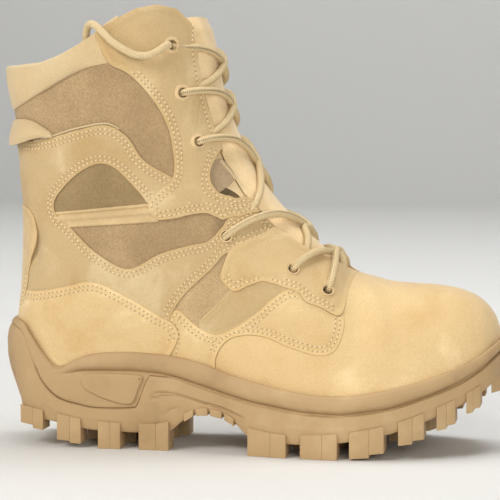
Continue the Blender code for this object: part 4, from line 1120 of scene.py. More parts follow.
def seamLines(name, top, gaps, hidden, keep):
    lines = []
    ring = panelRings[name]
    rim = onSkin(ring[:, 0], ring[:, 1], np.full(len(ring), top))
    taper = tapers.get(name.replace("_outer", "").replace("_inner", ""))
    for gap in gaps:
        here, where, forward, normal = rowMarks(insetRing(insetRing(ring, gap / 2), gap / 2), top, taper)
        away = np.linalg.norm(where[:, None] - rim, axis=2).min(1)
        use = (here[:, 1] < last["rows"] - 0.8) & (away > gap * 0.65) & (away < gap * 1.35 + 0.6)
        for other in hidden:
            use &= ~insideRing(here[:, 0], here[:, 1], panelRings[other])
        use &= keep(where.T, gap)
        lines += [(where[k], forward[k], normal[k]) for k in np.flatnonzero(use)]
    return lines


def edgeSeam(side, top):
    heights = np.arange(185, 256, 1.0)
    line = np.column_stack([np.interp(heights, throatEdge[:, 1], throatEdge[:, 0]) - 2.6, heights])
    _here, where, forward, normal = rowMarks(findOnSkin(line, side), top, closed=False)
    return list(zip(where, forward, normal))


throatEdge = skin[:middle, -1][:, (0, 2)]
throatEdge = throatEdge[(throatEdge[:, 0] > 121) & (throatEdge[:, 1] < 258)]
throatEdge = throatEdge[np.argsort(throatEdge[:, 1])]


def keepStay(spot, gap):
    edge = np.interp(spot[2], throatEdge[:, 1], throatEdge[:, 0])
    return ((spot[0] < 168) | (spot[2] > 170)) & (spot[2] < 226) & ((edge - spot[0] > 9) | (spot[2] < 179))


seams = []
for tail in ("_outer", "_inner"):
    seams += seamLines("eyestay" + tail, 1.6, stitchSet["rows"], (), keepStay)
    seams += edgeSeam(-1 if tail == "_outer" else 1, 1.6)
    seams += seamLines("eyestay_foot" + tail, 1.5, stitchSet["rows"], ("quarter", "eyestay" + tail),
                       lambda p, gap: (p[0] < 206) & (p[2] < 106) & ((p[0] < 150) | (p[2] < 104)))
    seams += seamLines("vamp_leaf" + tail, 0.75, stitchSet["rows"],
                       ("quarter", "heel_counter", "eyestay_foot" + tail), lambda p, gap: p[2] > 58)
stitchesFront = sewStitches("stitches_front", seams, stitchSet)
pierceHoles("needle_holes_front", seams, stitchSet)
seams = seamLines("quarter", 1.15, stitchSet["rows"], ("heel_counter", "eyestay_outer", "eyestay_inner"),
                  lambda p, gap: (p[0] > 14) & ((p[2] > 104) | (p[0] > 78)))
seams += seamLines("heel_counter", 1.55, stitchSet["rows"], ("backstay",), lambda p, gap: p[2] > 64)
seams += seamLines("backstay", 2.1, stitchSet["rows"][:1], (), lambda p, gap: (p[2] > 78) & (p[2] < 104))
stitchesBack = sewStitches("stitches_back", seams, stitchSet)
pierceHoles("needle_holes_back", seams, stitchSet)
print("boot: sewn", len(stitchesFront.data.polygons) + len(stitchesBack.data.polygons))


def tubeMesh(path, radius, sides=10, flat=1.0, closed=False):
    path = np.array(path, float)
    forward = np.gradient(path, axis=0)
    forward /= np.linalg.norm(forward, axis=1, keepdims=True)
    up = np.array((0.0, 0.0, 1.0)) if abs(forward[0, 2]) < 0.9 else np.array((1.0, 0.0, 0.0))
    verts, faces, uv = [], [], []
    length = runLength(path)
    radius = np.broadcast_to(radius, len(path))
    for k, spot in enumerate(path):
        up = up - forward[k] * (up @ forward[k])
        up /= np.linalg.norm(up)
        side = np.cross(forward[k], up)
        for n in range(sides):
            turn = 2 * math.pi * n / sides
            verts.append(spot + (side * math.cos(turn) + up * math.sin(turn) * flat) * radius[k])
            uv.append((length[k], turn))
    for k in range(len(path) - 1):
        for n in range(sides):
            m = (n + 1) % sides
            faces.append((k * sides + n, k * sides + m, (k + 1) * sides + m, (k + 1) * sides + n))
    faces.append(tuple(range(sides))[::-1])
    faces.append(tuple((len(path) - 1) * sides + n for n in range(sides)))
    return verts, faces, uv


def evenPath(points, step):
    curve = smoothOpen(points, 0.6)
    length = runLength(curve)
    even = np.linspace(0, length[-1], max(4, int(length[-1] / step) + 1))
    return np.column_stack([np.interp(even, length, curve[:, k]) for k in range(3)])


laceSet = {"radius": 2.2, "step": 1.1, "sides": 14, "over": 2.5, "lift": 5.0, "spread": 0.1}
laceEndRoute = ((109.0, -41.0, 241.3), (106.5, -44.5, 240), (103.5, -46.5, 237.5), (98, -49, 235),
                (91, -50.5, 235.2), (83.5, -51.5, 238.8), (76.5, -51.5, 243.5), (71, -50.5, 248.5),
                (66.5, -48.5, 252.5), (62.5, -45.5, 253.5), (59.5, -41.5, 251), (58, -38.5, 244),
                (57.5, -37.5, 236), (57.5, -37, 227))


def laceFinish(name, base, pale, dark):
    made = Finish(name)
    where = made.clothMap()
    split = made.node("ShaderNodeSeparateXYZ", {}, [where])
    along, turn = split, Wire(made, split.socket.node.outputs[1])
    first = made.node("ShaderNodeMath", {"operation": "SINE"}, [along * 3300.0 + turn * 8000.0])
    second = made.node("ShaderNodeMath", {"operation": "SINE"}, [along * 3300.0 - turn * 8000.0])
    braid = first * second * 0.5 + 0.5
    fuzz = made.noise(made.place(), 2400.0, 3.0)
    tone = made.ramp(braid * 0.7 + fuzz * 0.4, ((0.2, rgba(dark)), (0.5, rgba(base)), (0.85, rgba(pale))))
    made.feed(colour=tone, rough=0.85, normal=made.bump(braid + fuzz * 0.3, 0.0004, 0.9))
    made.shader.inputs["Specular IOR Level"].default_value = 0.25
    return made.material


laceCloth = laceFinish("lace_braid", (0.72, 0.555, 0.31), (0.88, 0.725, 0.46), (0.46, 0.32, 0.16))


def frontHeightOf(along, height):
    pivot = last["pivot"]
    slope = (along - pivot[0]) / (height - pivot[1])
    heights = np.linspace(99.0, 262.0, 600)
    miss = np.abs((frontReach(heights) - pivot[0]) - slope * (heights - pivot[1]))
    return float(heights[np.argmin(miss)])


def laceStrand(row, side):
    start = frontHeightOf(*eyelets[row])
    end = frontHeightOf(*eyelets[row + 1])
    gapEnd = float(readLine(last["throat"][::-1], end))
    spot, _normal = lastPoint(*eyelets[row], side)
    edge = abs(spot.y)
    route = []
    if row == 0:
        plan = ((1.0, 0.3, 0.02), (0.86, -0.4, 0.05), (0.66, 1.4, 0.10), (0.45, 3.2, 0.22),
                (0.22, 3.1, 0.36), (0.0, 3.0, 0.5))
    else:
        plan = ((1.0, -2.5, 0.0), (0.995, 1.2, 0.0), (0.93, 3.9, 0.01), (0.8, 5.0, 0.05), (0.6, 4.7, 0.13),
                (0.4, 4.0, 0.24), (0.2, 3.2, 0.36), (0.0, 2.9, 0.5))
    lean = 2.8 if row < 4 else 1.0
    for share, lift, drop in plan:
        drop = drop * (1 + 0.9 * (1 - drop)) if row > 2 else drop
        height = start + (end - start) * drop
        shift = 0.5 * side if abs(share) < 0.1 else 0.0
        across = side * edge * share + lean * (1 - share**2)
        route.append(throatPoint(height, across, lift + shift - (0.5 if row > 2 and share > 0.3 else 0))[0])
    spotEnd, _normal = lastPoint(*eyelets[row + 1], -side)
    edgeEnd = abs(spotEnd.y)
    for share, lift, drop in ((0.35, 2.7, 0.68), (0.7, 2.4, 0.82), (0.92, 1.2, 0.9), (1.1, -0.5, 0.95)):
        across = -side * gapEnd * share
        if abs(across) < edgeEnd:
            route.append(throatPoint(start + (end - start) * drop, across, lift)[0])
    route.append(throatPoint(end, -side * edgeEnd, -0.9)[0])
    return [tuple(p) for p in route]


laceVerts, laceFaces, laceUv = [], [], []


def addTube(route, radius=laceSet["radius"]):
    path = evenPath(route, laceSet["step"])
    verts, faces, uv = tubeMesh(path, radius, laceSet["sides"])
    first = len(laceVerts)
    laceVerts.extend(verts)
    laceUv.extend(uv)
    laceFaces.extend(tuple(i + first for i in face) for face in faces)


for row in range(5):
    for side in (-1, 1):
        addTube(laceStrand(row, side))
barHeight = frontHeightOf(*eyelets[5])
barEdge = abs(lastPoint(*eyelets[5], -1)[0].y)
barTop = frontHeightOf(199, 118)
bar = []
for share, lift in ((-1.0, -2.5), (-0.995, 1.2), (-0.92, 4.0), (-0.6, 4.5), (-0.2, 4.4), (0.2, 4.4),
                    (0.6, 4.5), (0.92, 4.0), (0.995, 1.2), (1.0, -2.5)):
    height = barHeight + (barTop - barHeight) * 0.75 * (1 - abs(share) ** 1.6)
    bar.append(tuple(throatPoint(height, barEdge * share, lift)[0]))
addTube(bar)
laceUv = np.array(laceUv)
finishPiece("lace_crossings", laceVerts, laceFaces, laceCloth,
            tuple("lace_crossing_%d" % k for k in range(1, 6)) + ("lace_bar",), 80, uv=laceUv)
endPath = evenPath(laceEndRoute, 1.1)
verts, faces, uv = tubeMesh(endPath, laceSet["radius"], laceSet["sides"])
laceEnd = finishPiece("lace_free_end", verts, faces, laceCloth, ("lace_end",), 80,
                      uv=np.array(uv))


# eyelets: rolled metal rings with open barrels
def eyeletFinish():
    made = Finish("eyelet_paint")
    patch = made.noise(made.place(), 180.0, 3.0)
    tone = made.ramp(patch, ((0.3, (0.56, 0.40, 0.21)), (0.6, (0.66, 0.48, 0.26)), (0.9, (0.74, 0.56, 0.32))))
    made.feed(colour=tone, rough=0.55 + patch * 0.15, normal=made.bump(patch, 0.0001, 0.4))
    return made.material


eyeletPaint = eyeletFinish()


def turnEyelet(name, spot, normal, flange, sizes, node):
    seat, hole = sizes["seat"], sizes["hole"]
    profile = ((hole, -2.4), (hole, seat + 0.6), (hole + 0.25, seat + 1.0), (hole + 0.8, seat + 1.15),
               (hole + (flange - hole) * 0.6, seat + 0.95), (flange - 0.25, seat + 0.5), (flange, seat + 0.1),
               (flange - 0.1, seat - 0.4), (hole + 0.6, seat - 0.5), (hole + 0.5, -2.3), (flange - 0.2, -2.3),
               (flange - 0.2, -2.7), (hole + 0.2, -2.8))
    turn = Vector(normal).to_track_quat("Z", "Y").to_matrix()
    verts, faces = [], []
    count = len(profile)
    for k in range(sizes["turns"]):
        angle = 2 * math.pi * k / sizes["turns"]
        for radius, high in profile:
            way = Vector((radius * math.cos(angle), radius * math.sin(angle), high))
            verts.append(np.array(turn @ way) + spot)
    for k in range(sizes["turns"]):
        n = (k + 1) % sizes["turns"]
        for i in range(count):
            j = (i + 1) % count
            faces.append((k * count + i, n * count + i, n * count + j, k * count + j))
    return finishPiece(name, verts, [face[::-1] for face in faces], eyeletPaint, (node,), 40)


for index, (along, height) in enumerate(eyelets):
    for side, tail in ((-1, "outer"), (1, "inner")):
        spot, normal = lastPoint(along, height, side)
        flange = eyeletSet["flange"] if index < eyeletSet["raised"] else eyeletSet["rim"]
        node = "eyelet_%s_%d" % (tail, index + 1)
        turnEyelet("ring_%s_%d" % (tail, index + 1), np.array(spot), normal, flange, eyeletSet, node)
print("boot: eyelets set")


# small pieces on the leather: window, ribs, piping, webbing
windowSet = {"line": ((35, 142), (39, 157), (50.5, 169.5), (61.5, 173.5), (72.5, 171.5), (84.5, 162),
                      (99, 148.5), (99, 143), (70, 141), (40, 139)), "top": 0.3}
gussetSet = {"line": ((131, 174), (140, 186), (156, 180), (168, 160), (162, 144), (145, 144.5), (131, 149),
                      (125.5, 161)), "top": -3.5, "low": -4.4}
webbingSet = {"line": ((130, 168), (136.9, 174.0), (145.5, 162.6), (143.6, 159.4), (135, 153.6),
                       (129.5, 158)),
              "top": -0.1, "low": -1.0}
ribSet = {"corners": ((34.0, 141.6), (99.5, 148.2), (101.5, 136.4), (43.5, 132.2)), "long": 60, "wide": 40,
          "shape": ((0, -0.3), (0.02, 0.75), (0.08, 1.0), (0.15, 0.95), (0.19, 0.3), (0.23, 0.3), (0.27, 1.1),
                    (0.36, 1.7), (0.48, 1.7), (0.57, 1.1), (0.66, 0.75), (0.78, 0.75), (0.84, 1.05),
                    (0.92, 1.15), (0.97, 0.8), (1.0, -0.3))}
# the gusset is its own darker cloth, darkened further as painted shade in the recess under the webbing
gussetCloth = clothFinish("gusset_cloth", (0.30, 0.21, 0.10), (0.38, 0.28, 0.14), (0.20, 0.14, 0.065), 0.0007)
webbingCloth = clothFinish("webbing", (0.60, 0.43, 0.25), (0.74, 0.56, 0.35), (0.42, 0.28, 0.15), 0.0013)


def gridPiece(name, points, finish, replaced=(), angle=40, closed=False):
    rows, count = points.shape[:2]
    faces = []
    for i in range(rows - 1):
        for k in range(count if closed else count - 1):
            n = (k + 1) % count
            faces.append((i * count + k, i * count + n, (i + 1) * count + n, (i + 1) * count + k))
    if closed:
        faces.append(tuple(range(count))[::-1])
        faces.append(tuple((rows - 1) * count + k for k in range(count)))
    stepsAcross = np.linalg.norm(np.diff(points, axis=1), axis=-1)
    stepsAlong = np.linalg.norm(np.diff(points, axis=0), axis=-1)
    across = np.concatenate([np.zeros((rows, 1)), np.cumsum(stepsAcross, 1)], 1)
    along = np.concatenate([np.zeros((1, count)), np.cumsum(stepsAlong, 0)], 0)
    uv = np.stack([across, along], -1).reshape(-1, 2)
    piece = finishPiece(name, points.reshape(-1, 3), faces, finish, replaced, angle, uv=uv * mm)
    turnOutwards(piece)
    return piece


for side, tail in ((-1, "_outer"), (1, "_inner")):
    layPanel("window_cloth" + tail, ringFromSide(windowSet["line"], side), windowSet["top"], windowCloth,
             swell=0.5)
    layPanel("gusset" + tail, ringFromSide(gussetSet["line"], side), gussetSet["top"], gussetCloth,
             low=gussetSet["low"], swell=-0.3)
    layPanel("webbing" + tail, ringFromSide(webbingSet["line"], side), webbingSet["top"], webbingCloth,
             ("webbing_tab" + tail,), low=webbingSet["low"], swell=0.2)
    corners = ribSet["corners"]
    coarse, shares = np.linspace(0, 1, 14), np.linspace(0, 1, ribSet["long"])
    edges = []
    for start, end in ((corners[0], corners[1]), (corners[3], corners[2])):
        edge = findOnSkin([np.array(start) * (1 - s) + np.array(end) * s for s in coarse], side)
        edges.append(np.column_stack([np.interp(shares, coarse, edge[:, k]) for k in range(2)]))
    levels = np.linspace(0, 1, ribSet["wide"])
    rib = readLine(ribSet["shape"], levels)
    grid = edges[0][:, None] * (1 - levels[None, :, None]) + edges[1][:, None] * levels[None, :, None]
    upper = onSkin(grid[..., 0], grid[..., 1], np.broadcast_to(rib, grid.shape[:2]))
    under = onSkin(grid[..., 0], grid[..., 1], np.full(grid.shape[:2], -0.6))[:, ::-1]
    gridPiece("rib_band" + tail, np.concatenate([upper, under[:, 1:-1]], axis=1), bandCloth,
              closed=True)

pipeLine = smoothOpen(((24, 184.6), (33.4, 186.6), (54.7, 192.6), (72.1, 195.0), (79, 192.0)), 1.2)
stripLine = smoothOpen(((146.3, 97.5), (136.5, 87.5), (126.2, 77.0)), 1.2)
bindLine = smoothOpen(((136.9, 173.0), (141, 168), (145.5, 161.9)), 0.8)
pipeVerts, pipeFaces, pipeUv = [], [], []
for side in (-1, 1):
    for line, lift, radius in ((pipeLine, 0.9, 0.6), (bindLine, 0.15, 0.8), (stripLine, 0.6, 0.4)):
        where = findOnSkin(line, side)
        verts, faces, uv = tubeMesh(onSkin(where[:, 0], where[:, 1], np.full(len(where), lift)), radius, 8)
        first = len(pipeVerts)
        pipeVerts += list(verts)
        pipeUv += uv
        pipeFaces += [tuple(i + first for i in face) for face in faces]
finishPiece("piping", pipeVerts, pipeFaces, collarLeather, (), 60, uv=np.array(pipeUv))
print("boot: small pieces laid")


# padded collar
cuffSet = {
    "line": ((8, 203.2), (14, 205.3), (22, 209.2), (35.3, 216), (56, 226.2), (73, 230.6), (80, 231)),
    "outside": ((0, -0.2), (0, 0.8), (0.02, 1.3), (0.07, 1.8), (0.18, 2.4), (0.38, 2.9), (0.6, 3.0),
                (0.8, 2.6), (0.95, 1.9)),
    "inside": ((0.4, -5.2), (2, -5.9), (4, -6.2), (6, -5.9), (8, -4.9), (9.5, -3.4), (10, -2.4), (10, -1.9)),
    "cap": 2.2, "bump": 3.6,
}


def buildCuff(sizes):
    low = findOnSkin(smoothOpen(sizes["line"], 2.0), -1)
    away = middle - low[::-1, 0]
    us = np.linspace(low[-1, 0], 2 * middle - low[-1, 0], 190)
    back = np.abs(us - middle)
    if away[0] < away[-1]:
        vLow = np.interp(back, away, low[::-1, 1])
    else:
        vLow = np.interp(back, away[::-1], low[:, 1])
    top = float(last["rows"])
    rim = onSkin(us, np.full(len(us), top))
    puff = 0.35 + 0.65 * easeStep(back, 3, 14)
    fade = 1 - 0.72 * easeStep(rim[:, 0], 50, 70)
    bump = sizes["bump"] * np.exp(-(((rim[:, 0] - 41) / 5.5) ** 4)) * (us > middle)
    columns = []
    for share, lift in sizes["outside"]:
        columns.append(onSkin(us, vLow + (top - vLow) * share,
                              lift * puff * fade if lift > 0 else np.full(len(us), lift)))
    for angle in np.radians(np.linspace(8, 172, 9)):
        outer, inner = 1.9 * puff * fade, -5.0 * (0.4 + 0.6 * fade)
        spread = (outer + inner) / 2 + (outer - inner) / 2 * math.cos(angle)
        spots = onSkin(us, np.full(len(us), top - 0.3), spread)
        spots[:, 2] += sizes["cap"] * math.sin(angle) ** 0.8 + bump * math.sin(angle)
        columns.append(spots)
    for rows, lift in sizes["inside"]:
        columns.append(onSkin(us, np.full(len(us), top - rows), lift * (0.4 + 0.6 * fade) - 0.9 * (1 - fade)))
    piece = gridPiece("collar_cuff_leather", np.stack(columns, 1), collarLeather,
                      ("collar_cuff",),
                      closed=True, angle=60)
    piece.data.materials.append(liningCloth)
    count = len(columns)
    first = len(sizes["outside"]) + 9
    for face in piece.data.polygons:
        if all(v % count >= first - 1 for v in face.vertices):
            face.material_index = 1
    return piece


cuff = buildCuff(cuffSet)


# tongue
tongueSet = {"top": 259.0, "bottom": 103.5, "rows": 84, "columns": 33, "thick": 5.0, "margin": 7.5,
             "puff": 1.0}


# the tongue's suede is lightened (paler base, tint 1.12): painted light making up for the shade in the throat
# between the flaps
litTongueSuede = suedeFinish("tongue_suede_lit", {**suedeSet, "base": (0.76, 0.585, 0.345),
                                           "pale": (0.84, 0.68, 0.42),
                                           "patch": 16.0}, 1.12, seam=False)


def throatSheet(heights, acrosses):
    heights = np.broadcast_to(heights[:, None], acrosses.shape)
    front = np.stack([frontReach(heights), heights], -1)
    way = front - np.array(last["pivot"])
    way /= np.linalg.norm(way, axis=-1, keepdims=True)
    near, far = np.zeros(acrosses.shape), np.full(acrosses.shape, 45.0)
    for _step in range(34):
        middleWay = (near + far) / 2
        spot = front + way * middleWay[..., None]
        half, _centre = lastSection(spot[..., 0], spot[..., 1])
        small = half < np.abs(acrosses)
        near, far = np.where(small, middleWay, near), np.where(small, far, middleWay)
    spot = front + way * far[..., None]
    _half, centre = lastSection(spot[..., 0], spot[..., 1])
    return np.stack([spot[..., 0], centre + acrosses, spot[..., 1]], -1)


def buildTongue(sizes):
    heights = np.linspace(sizes["top"], sizes["bottom"], sizes["rows"])
    gap = np.where(heights > 109.5, np.interp(heights, *np.array(last["throat"][::-1]).T), 0.0)
    wide = gap + sizes["margin"] * (1 - 0.75 * np.exp(-(((heights - 158) / 9) ** 2)))
    corner = 1 - 0.22 * easeStep(heights, 249, 259) ** 2
    turns = np.sin(np.linspace(-math.pi / 2, math.pi / 2, sizes["columns"]))
    across = (wide * corner)[:, None] * turns[None]
    sheet = throatSheet(heights, across)
    normal = np.cross(np.gradient(sheet, axis=0), np.gradient(sheet, axis=1))
    normal /= np.linalg.norm(normal, axis=-1, keepdims=True)
    if normal[30, 16, 0] < 0:
        normal = -normal
    openHere = easeStep(gap[:, None] - np.abs(across), 1.0, 9.0)
    lift = -3.1 * (1 - openHere)
    puff = sizes["puff"] * openHere * (0.5 + 0.5 * np.sin(heights * 0.105 + 0.6))[:, None]
    rim = np.minimum(easeStep(np.arange(sizes["rows"])[:, None], 0, 5), 1) * np.ones_like(across)
    outer = sheet + normal * (lift + puff * 0.5 - (1 - rim) * 1.6)[..., None]
    inner = sheet + normal * (lift - sizes["thick"] + (1 - rim) * 1.6)[..., None]
    loops = np.concatenate([outer, inner[:, ::-1]], axis=1)
    return gridPiece("tongue_leather", loops, litTongueSuede, ("tongue",), closed=True, angle=60)


tongue = buildTongue(tongueSet)


# pull loop at the back of the shaft
loopSet = {
    # distance from the back, top height, bottom height, stand-off at top, middle and bottom
    "marks": ((0, 196.8, 182.4, 1.6, 3.4, 4.4), (7, 197.6, 182.2, 1.7, 4.6, 5.2),
              (14, 197.6, 184.4, 1.9, 5.6, 5.0), (20, 196.0, 186.4, 1.8, 5.4, 3.8),
              (26, 192.6, 187.2, 1.5, 3.6, 2.0), (31, 188.6, 186.4, 0.9, 1.5, 0.9)),
    "thick": 1.7,
}


def buildLoop(sizes):
    marks = np.array(sizes["marks"], float)
    alongs = np.concatenate([np.linspace(31, 4, 26), np.linspace(3.4, 0.05, 12)])
    stations = [(-1, a) for a in alongs] + [(1, a) for a in alongs[::-1]]
    posts = []
    for side, along in stations:
        mark = [np.interp(along, marks[:, 0], marks[:, k]) for k in range(1, 6)]
        high = (mark[0] + mark[1]) / 2
        spot, normal = lastPoint(float(backReach(high)) + along, high, side)
        posts.append([*spot, *normal, *mark])
    posts = np.array(posts)
    for _turn in range(5):
        posts[1:-1] = (posts[:-2] + 2 * posts[1:-1] + posts[2:]) / 4
    rows = []
    for post in posts:
        spot, out = post[:3], post[3:6] / np.linalg.norm(post[3:6])
        top, low, atTop, atMiddle, atLow = post[6:]
        shares = np.linspace(0, 1, 10)
        stand = atTop * (1 - shares) * (1 - 2 * shares) + 4 * atMiddle * shares * (1 - shares)
        stand += atLow * shares * (2 * shares - 1)
        line = np.array([(s, z) for s, z in zip(stand, top + (low - top) * shares)])
        tangent = np.gradient(line, axis=0)
        tangent /= np.maximum(np.linalg.norm(tangent, axis=1, keepdims=True), 1e-9)
        across = np.column_stack([-tangent[:, 1], tangent[:, 0]])
        thin = sizes["thick"] / 2 * (1 - 0.45 * np.abs(2 * shares - 1) ** 6)
        section = []
        for face, order in ((1, range(10)), (-1, range(9, -1, -1))):
            for k in order:
                s, z = line[k] + across[k] * thin[k] * face
                section.append(np.array((spot[0], spot[1], z)) + out * s)
        rows.append(section)
    return gridPiece("pull_loop_leather", np.array(rows), collarLeather, ("pull_loop",),
                     closed=True, angle=60)


buildLoop(loopSet)
print("boot: collar, tongue and loop made")


# sole
soleSet = {
    "plan": ((5, 20, 20), (15, 30, 30), (30, 36, 35), (50, 38, 37), (75, 37.5, 36), (100, 38, 34.5),
             (125, 40.5, 33.5), (150, 46.5, 37), (175, 51.5, 43), (200, 54.5, 48.5), (220, 54.5, 51),
             (240, 51.5, 51), (260, 44.5, 47.5), (275, 37, 43), (290, 28, 36.5), (300, 16.5, 26.5)),
    "heelTip": (-2.0, 0.0), "toeTip": (306.5, 6.0), "stations": 190, "turnWeight": 12.0,
    "lip": ((-2, 75.5), (8, 75.5), (15, 73.5), (21, 66), (29, 56), (38, 47.5), (46, 51.5), (54, 55),
            (66, 57.5), (86, 58.5), (111, 56.5), (127, 53), (152, 45.5), (183, 39), (212, 37), (241, 41),
            (270, 49), (288, 57), (300, 65), (306.5, 70)),
    "groove": ((-2, 72), (8, 71.5), (15, 68), (20, 58), (25, 46), (29, 39), (34, 33.5), (41, 29), (51, 26.5),
               (63, 24.5), (84, 25), (88, 27), (94.5, 43.5), (99, 44.5), (111, 43.5), (121, 40.5), (141, 35),
               (158, 31), (188, 26.5), (212, 25.5), (241, 29.5), (264, 36.5), (281, 43.5), (292, 50.5),
               (300, 57), (306.5, 62.5)),
    "underside": ((-2, 26), (4, 22), (12, 19), (38, 15), (60, 11), (87, 10), (106, 11), (114, 17),
                  (122, 22.5), (134, 23.5), (145, 20.5), (154, 13), (162, 9.5), (184, 8), (214, 10),
                  (242, 15.5), (264, 23), (283, 31.5), (295, 38.5), (306.5, 48)),
    "tread": ((0, 19), (20, 13.5), (33, 8.5), (42, 5), (56, 2), (64, 0), (213, 0), (222, 1.5), (238, 6),
              (262, 14), (279, 22.5), (295, 33), (305, 41)),
    "profile": ((0.0, -0.1), (0.06, -0.3), (0.5, -0.3), (0.8, 0.4), (0.93, 0.9), (1.0, 1.6)),
    "archBand": ((97.5, 31.5), (103, 34), (111, 34), (121, 31.5), (131, 29), (141, 27), (153, 22.5)),
}
grooves = (
    {"path": ((97.5, 31.0), (99, 33.6), (103, 34.4), (111, 34), (121, 31.5), (131, 29), (141, 27),
              (153, 22.5)),
     "depth": -1.5, "wide": 0.8},
    {"path": ((106, 22), (109.5, 25), (114, 24.5), (119, 21)), "depth": -1.0, "wide": 0.7},
    {"path": ((5.5, 44), (5.0, 38), (4.6, 33)), "depth": -1.6, "wide": 1.1},
)
heelTaper = ((8, 8.5), (17, 7.6), (26, 6.2), (34, 4.4), (43, 1.9), (52, 0.3), (62, 0.0), (67, 0.7),
             (71, 1.9), (76, 3.6))
beadSet = {
    "line": ((-2, 60), (15, 56), (30, 44), (44, 44.8), (53, 46.8), (86, 47.0), (101, 45.9), (111, 43.9),
             (121, 41.0), (141, 35.4), (158, 31.4), (188, 26.9), (212, 25.9), (241, 29.9), (264, 36.9),
             (281, 43.9), (292, 50.9), (300, 57.4), (306.5, 62.9)),
    "shape": ((0.0, 1.5), (0.04, 0.85), (0.1, 0.35), (0.2, -0.1), (0.35, -0.55), (0.5, -0.65), (0.65, -0.4),
              (0.78, 0.25), (0.88, 1.2), (0.95, 2.2), (1.0, 3.1)),
    "below": ((0, 3.1), (0.5, 2.3), (1.3, 1.3), (3, 0.7)),
    "plain": ((0, 1.5), (0.5, 0.75), (1.2, 0.3), (2.4, 0.0), (4, 0.0)),
    "sharesAbove": (0.04, 0.1, 0.2, 0.35, 0.5, 0.65, 0.78, 0.88, 0.95, 1.0),
    "sharesBelow": (0.03, 0.07, 0.12, 0.18, 0.26, 0.35, 0.45, 0.55, 0.65, 0.75, 0.84, 0.91, 0.96, 0.99),
}
edgeLugs = ((13.5, 29.5, 22.5), (38.5, 53.5, 46.5), (64, 77.7, 71.5), (89, 107.6, 99.5), (157, 180.5, 171),
            (189, 211, 202), (218, 238, 229.5), (246, 260.5, 254), (267.5, 278, 273), (284, 292, 288))
archRibs = ((116.5, 122.5), (124.0, 131.5), (133.0, 140.5), (142.0, 148.0))
centreLugs = ((48, 57, 13, 4), (68, 78, 13, 4), (89, 99, 12, 4), (164, 174, 15, -5), (184, 194, 19, -5),
              (204, 213, 21, -5), (224, 233, 20, -6), (243, 251, 17, -6), (260, 267, 13, -6))
lugSet = {"reach": 15.0, "proud": 1.2, "slot": -0.1, "rise": 6.0, "bevel": 0.6,
          "rib": {"edge": 1.0, "reach": 11.0, "deep": 1.7, "root": 3.0},
          "toe": ((297, -6), (303, -2), (303, 12), (297, 18))}
insertSet = {
    "line": ((53.3, 39.3), (53.8, 43.0), (58.5, 44.9), (82.4, 45.3), (91.5, 44.0), (89.0, 36.4), (86.0, 29.0),
             (83.5, 27.0), (72.5, 28.5), (62.7, 32.0), (55.7, 35.5)),
    "face": {-1: 38.2, 1: 37.5}, "recess": 0.95, "deep": 2.0,
    "rings": ((-0.1, -1.9), (-0.1, -0.6), (-0.35, -0.1), (-0.8, 0.15), (-1.6, 0.2), (-2.2, 0.2)),
}


solePlan = [planLine(soleSet["plan"], soleSet["heelTip"], soleSet["toeTip"], column) for column in (1, 2)]
lipLine = smoothLine(soleSet["lip"], 6)
grooveLine = smoothLine(soleSet["groove"], 4)
undersideLine = smoothLine(soleSet["underside"], 4)


stations = planStations(solePlan, soleSet["stations"], soleSet["turnWeight"])


def outwardWay(points, side):
    tangent = np.gradient(points, axis=0)
    tangent[0], tangent[-1] = (0, tangent[0, 1]), (0, tangent[-1, 1])
    tangent /= np.hypot(*tangent.T)[:, None]
    return np.column_stack([-tangent[:, 1], tangent[:, 0]]) * side


def outlineAt(along, side):
    curve = solePlan[0] if side < 0 else solePlan[1]
    return np.interp(along, curve[:, 0], curve[:, 1])


def wallRing(side, inset, heights, marks=()):
    points = np.column_stack([stations, outlineAt(stations, side)])
    relief = np.zeros(len(points))
    if marks:
        view = np.column_stack([points[:, 0], heights])
        for mark in marks:
            away = distanceToPath(view, smoothLine(mark["path"], 4))
            relief += mark["depth"] * np.exp(-((away / mark["wide"]) ** 2))
    narrow = readLine(heelTaper, np.asarray(heights, float)) * (1 - easeStep(stations, 1, 19))
    moved = points - outwardWay(points, side) * (inset - relief + narrow)[:, None]
    return np.column_stack([moved, heights])


def lastRingSide(side, heights, lift):
    points = []
    for start, height in zip(planStations(lastPlan, soleSet["stations"], soleSet["turnWeight"]), heights):
        foot = float(readLine(footbedLine, start))
        along, z, _end = columnPoints(start, np.linspace(0, 1, 60))
        here = float(np.interp(height, z, along))
        half, centre = lastSection(here, height)
        points.append((here, float(centre + side * half), height))
    points = np.array(points)
    points[:, :2] += outwardWay(points[:, :2], side) * lift
    return points


def loftRings(name, rings, finish, replaced, angle=35):
    verts, faces, loops = [], [], []
    for outer, inner in rings:
        first = len(verts)
        verts += list(outer) + list(inner[1:-1])
        left = list(range(first, first + len(outer)))
        right = [left[0]] + list(range(first + len(outer), first + len(outer) + len(inner) - 2)) + [left[-1]]
        loops.append((left, right))
    for lower, upper in zip(loops, loops[1:]):
        for near, far in zip(lower, upper):
            for i in range(len(near) - 1):
                faces.append((near[i], near[i + 1], far[i + 1], far[i]))
    for left, right in (loops[0], loops[-1]):
        for i in range(len(left) - 1):
            faces.append(tuple(dict.fromkeys((left[i], left[i + 1], right[i + 1], right[i]))))
    piece = finishPiece(name, verts, faces, finish, replaced, angle)
    turnOutwards(piece, 0.01)
    return piece


lipHere = np.interp(stations, lipLine[:, 0], lipLine[:, 1])
grooveHere = np.interp(stations, grooveLine[:, 0], grooveLine[:, 1])
underHere = np.interp(stations, undersideLine[:, 0], undersideLine[:, 1])
bedHere = readLine(footbedLine, np.clip(stations, last["heelTip"][0], last["toeTip"][0]))
lastStations = planStations(lastPlan, soleSet["stations"], soleSet["turnWeight"])
lipLast = np.interp(lastStations, lipLine[:, 0], lipLine[:, 1])
bedLast = readLine(footbedLine, lastStations)


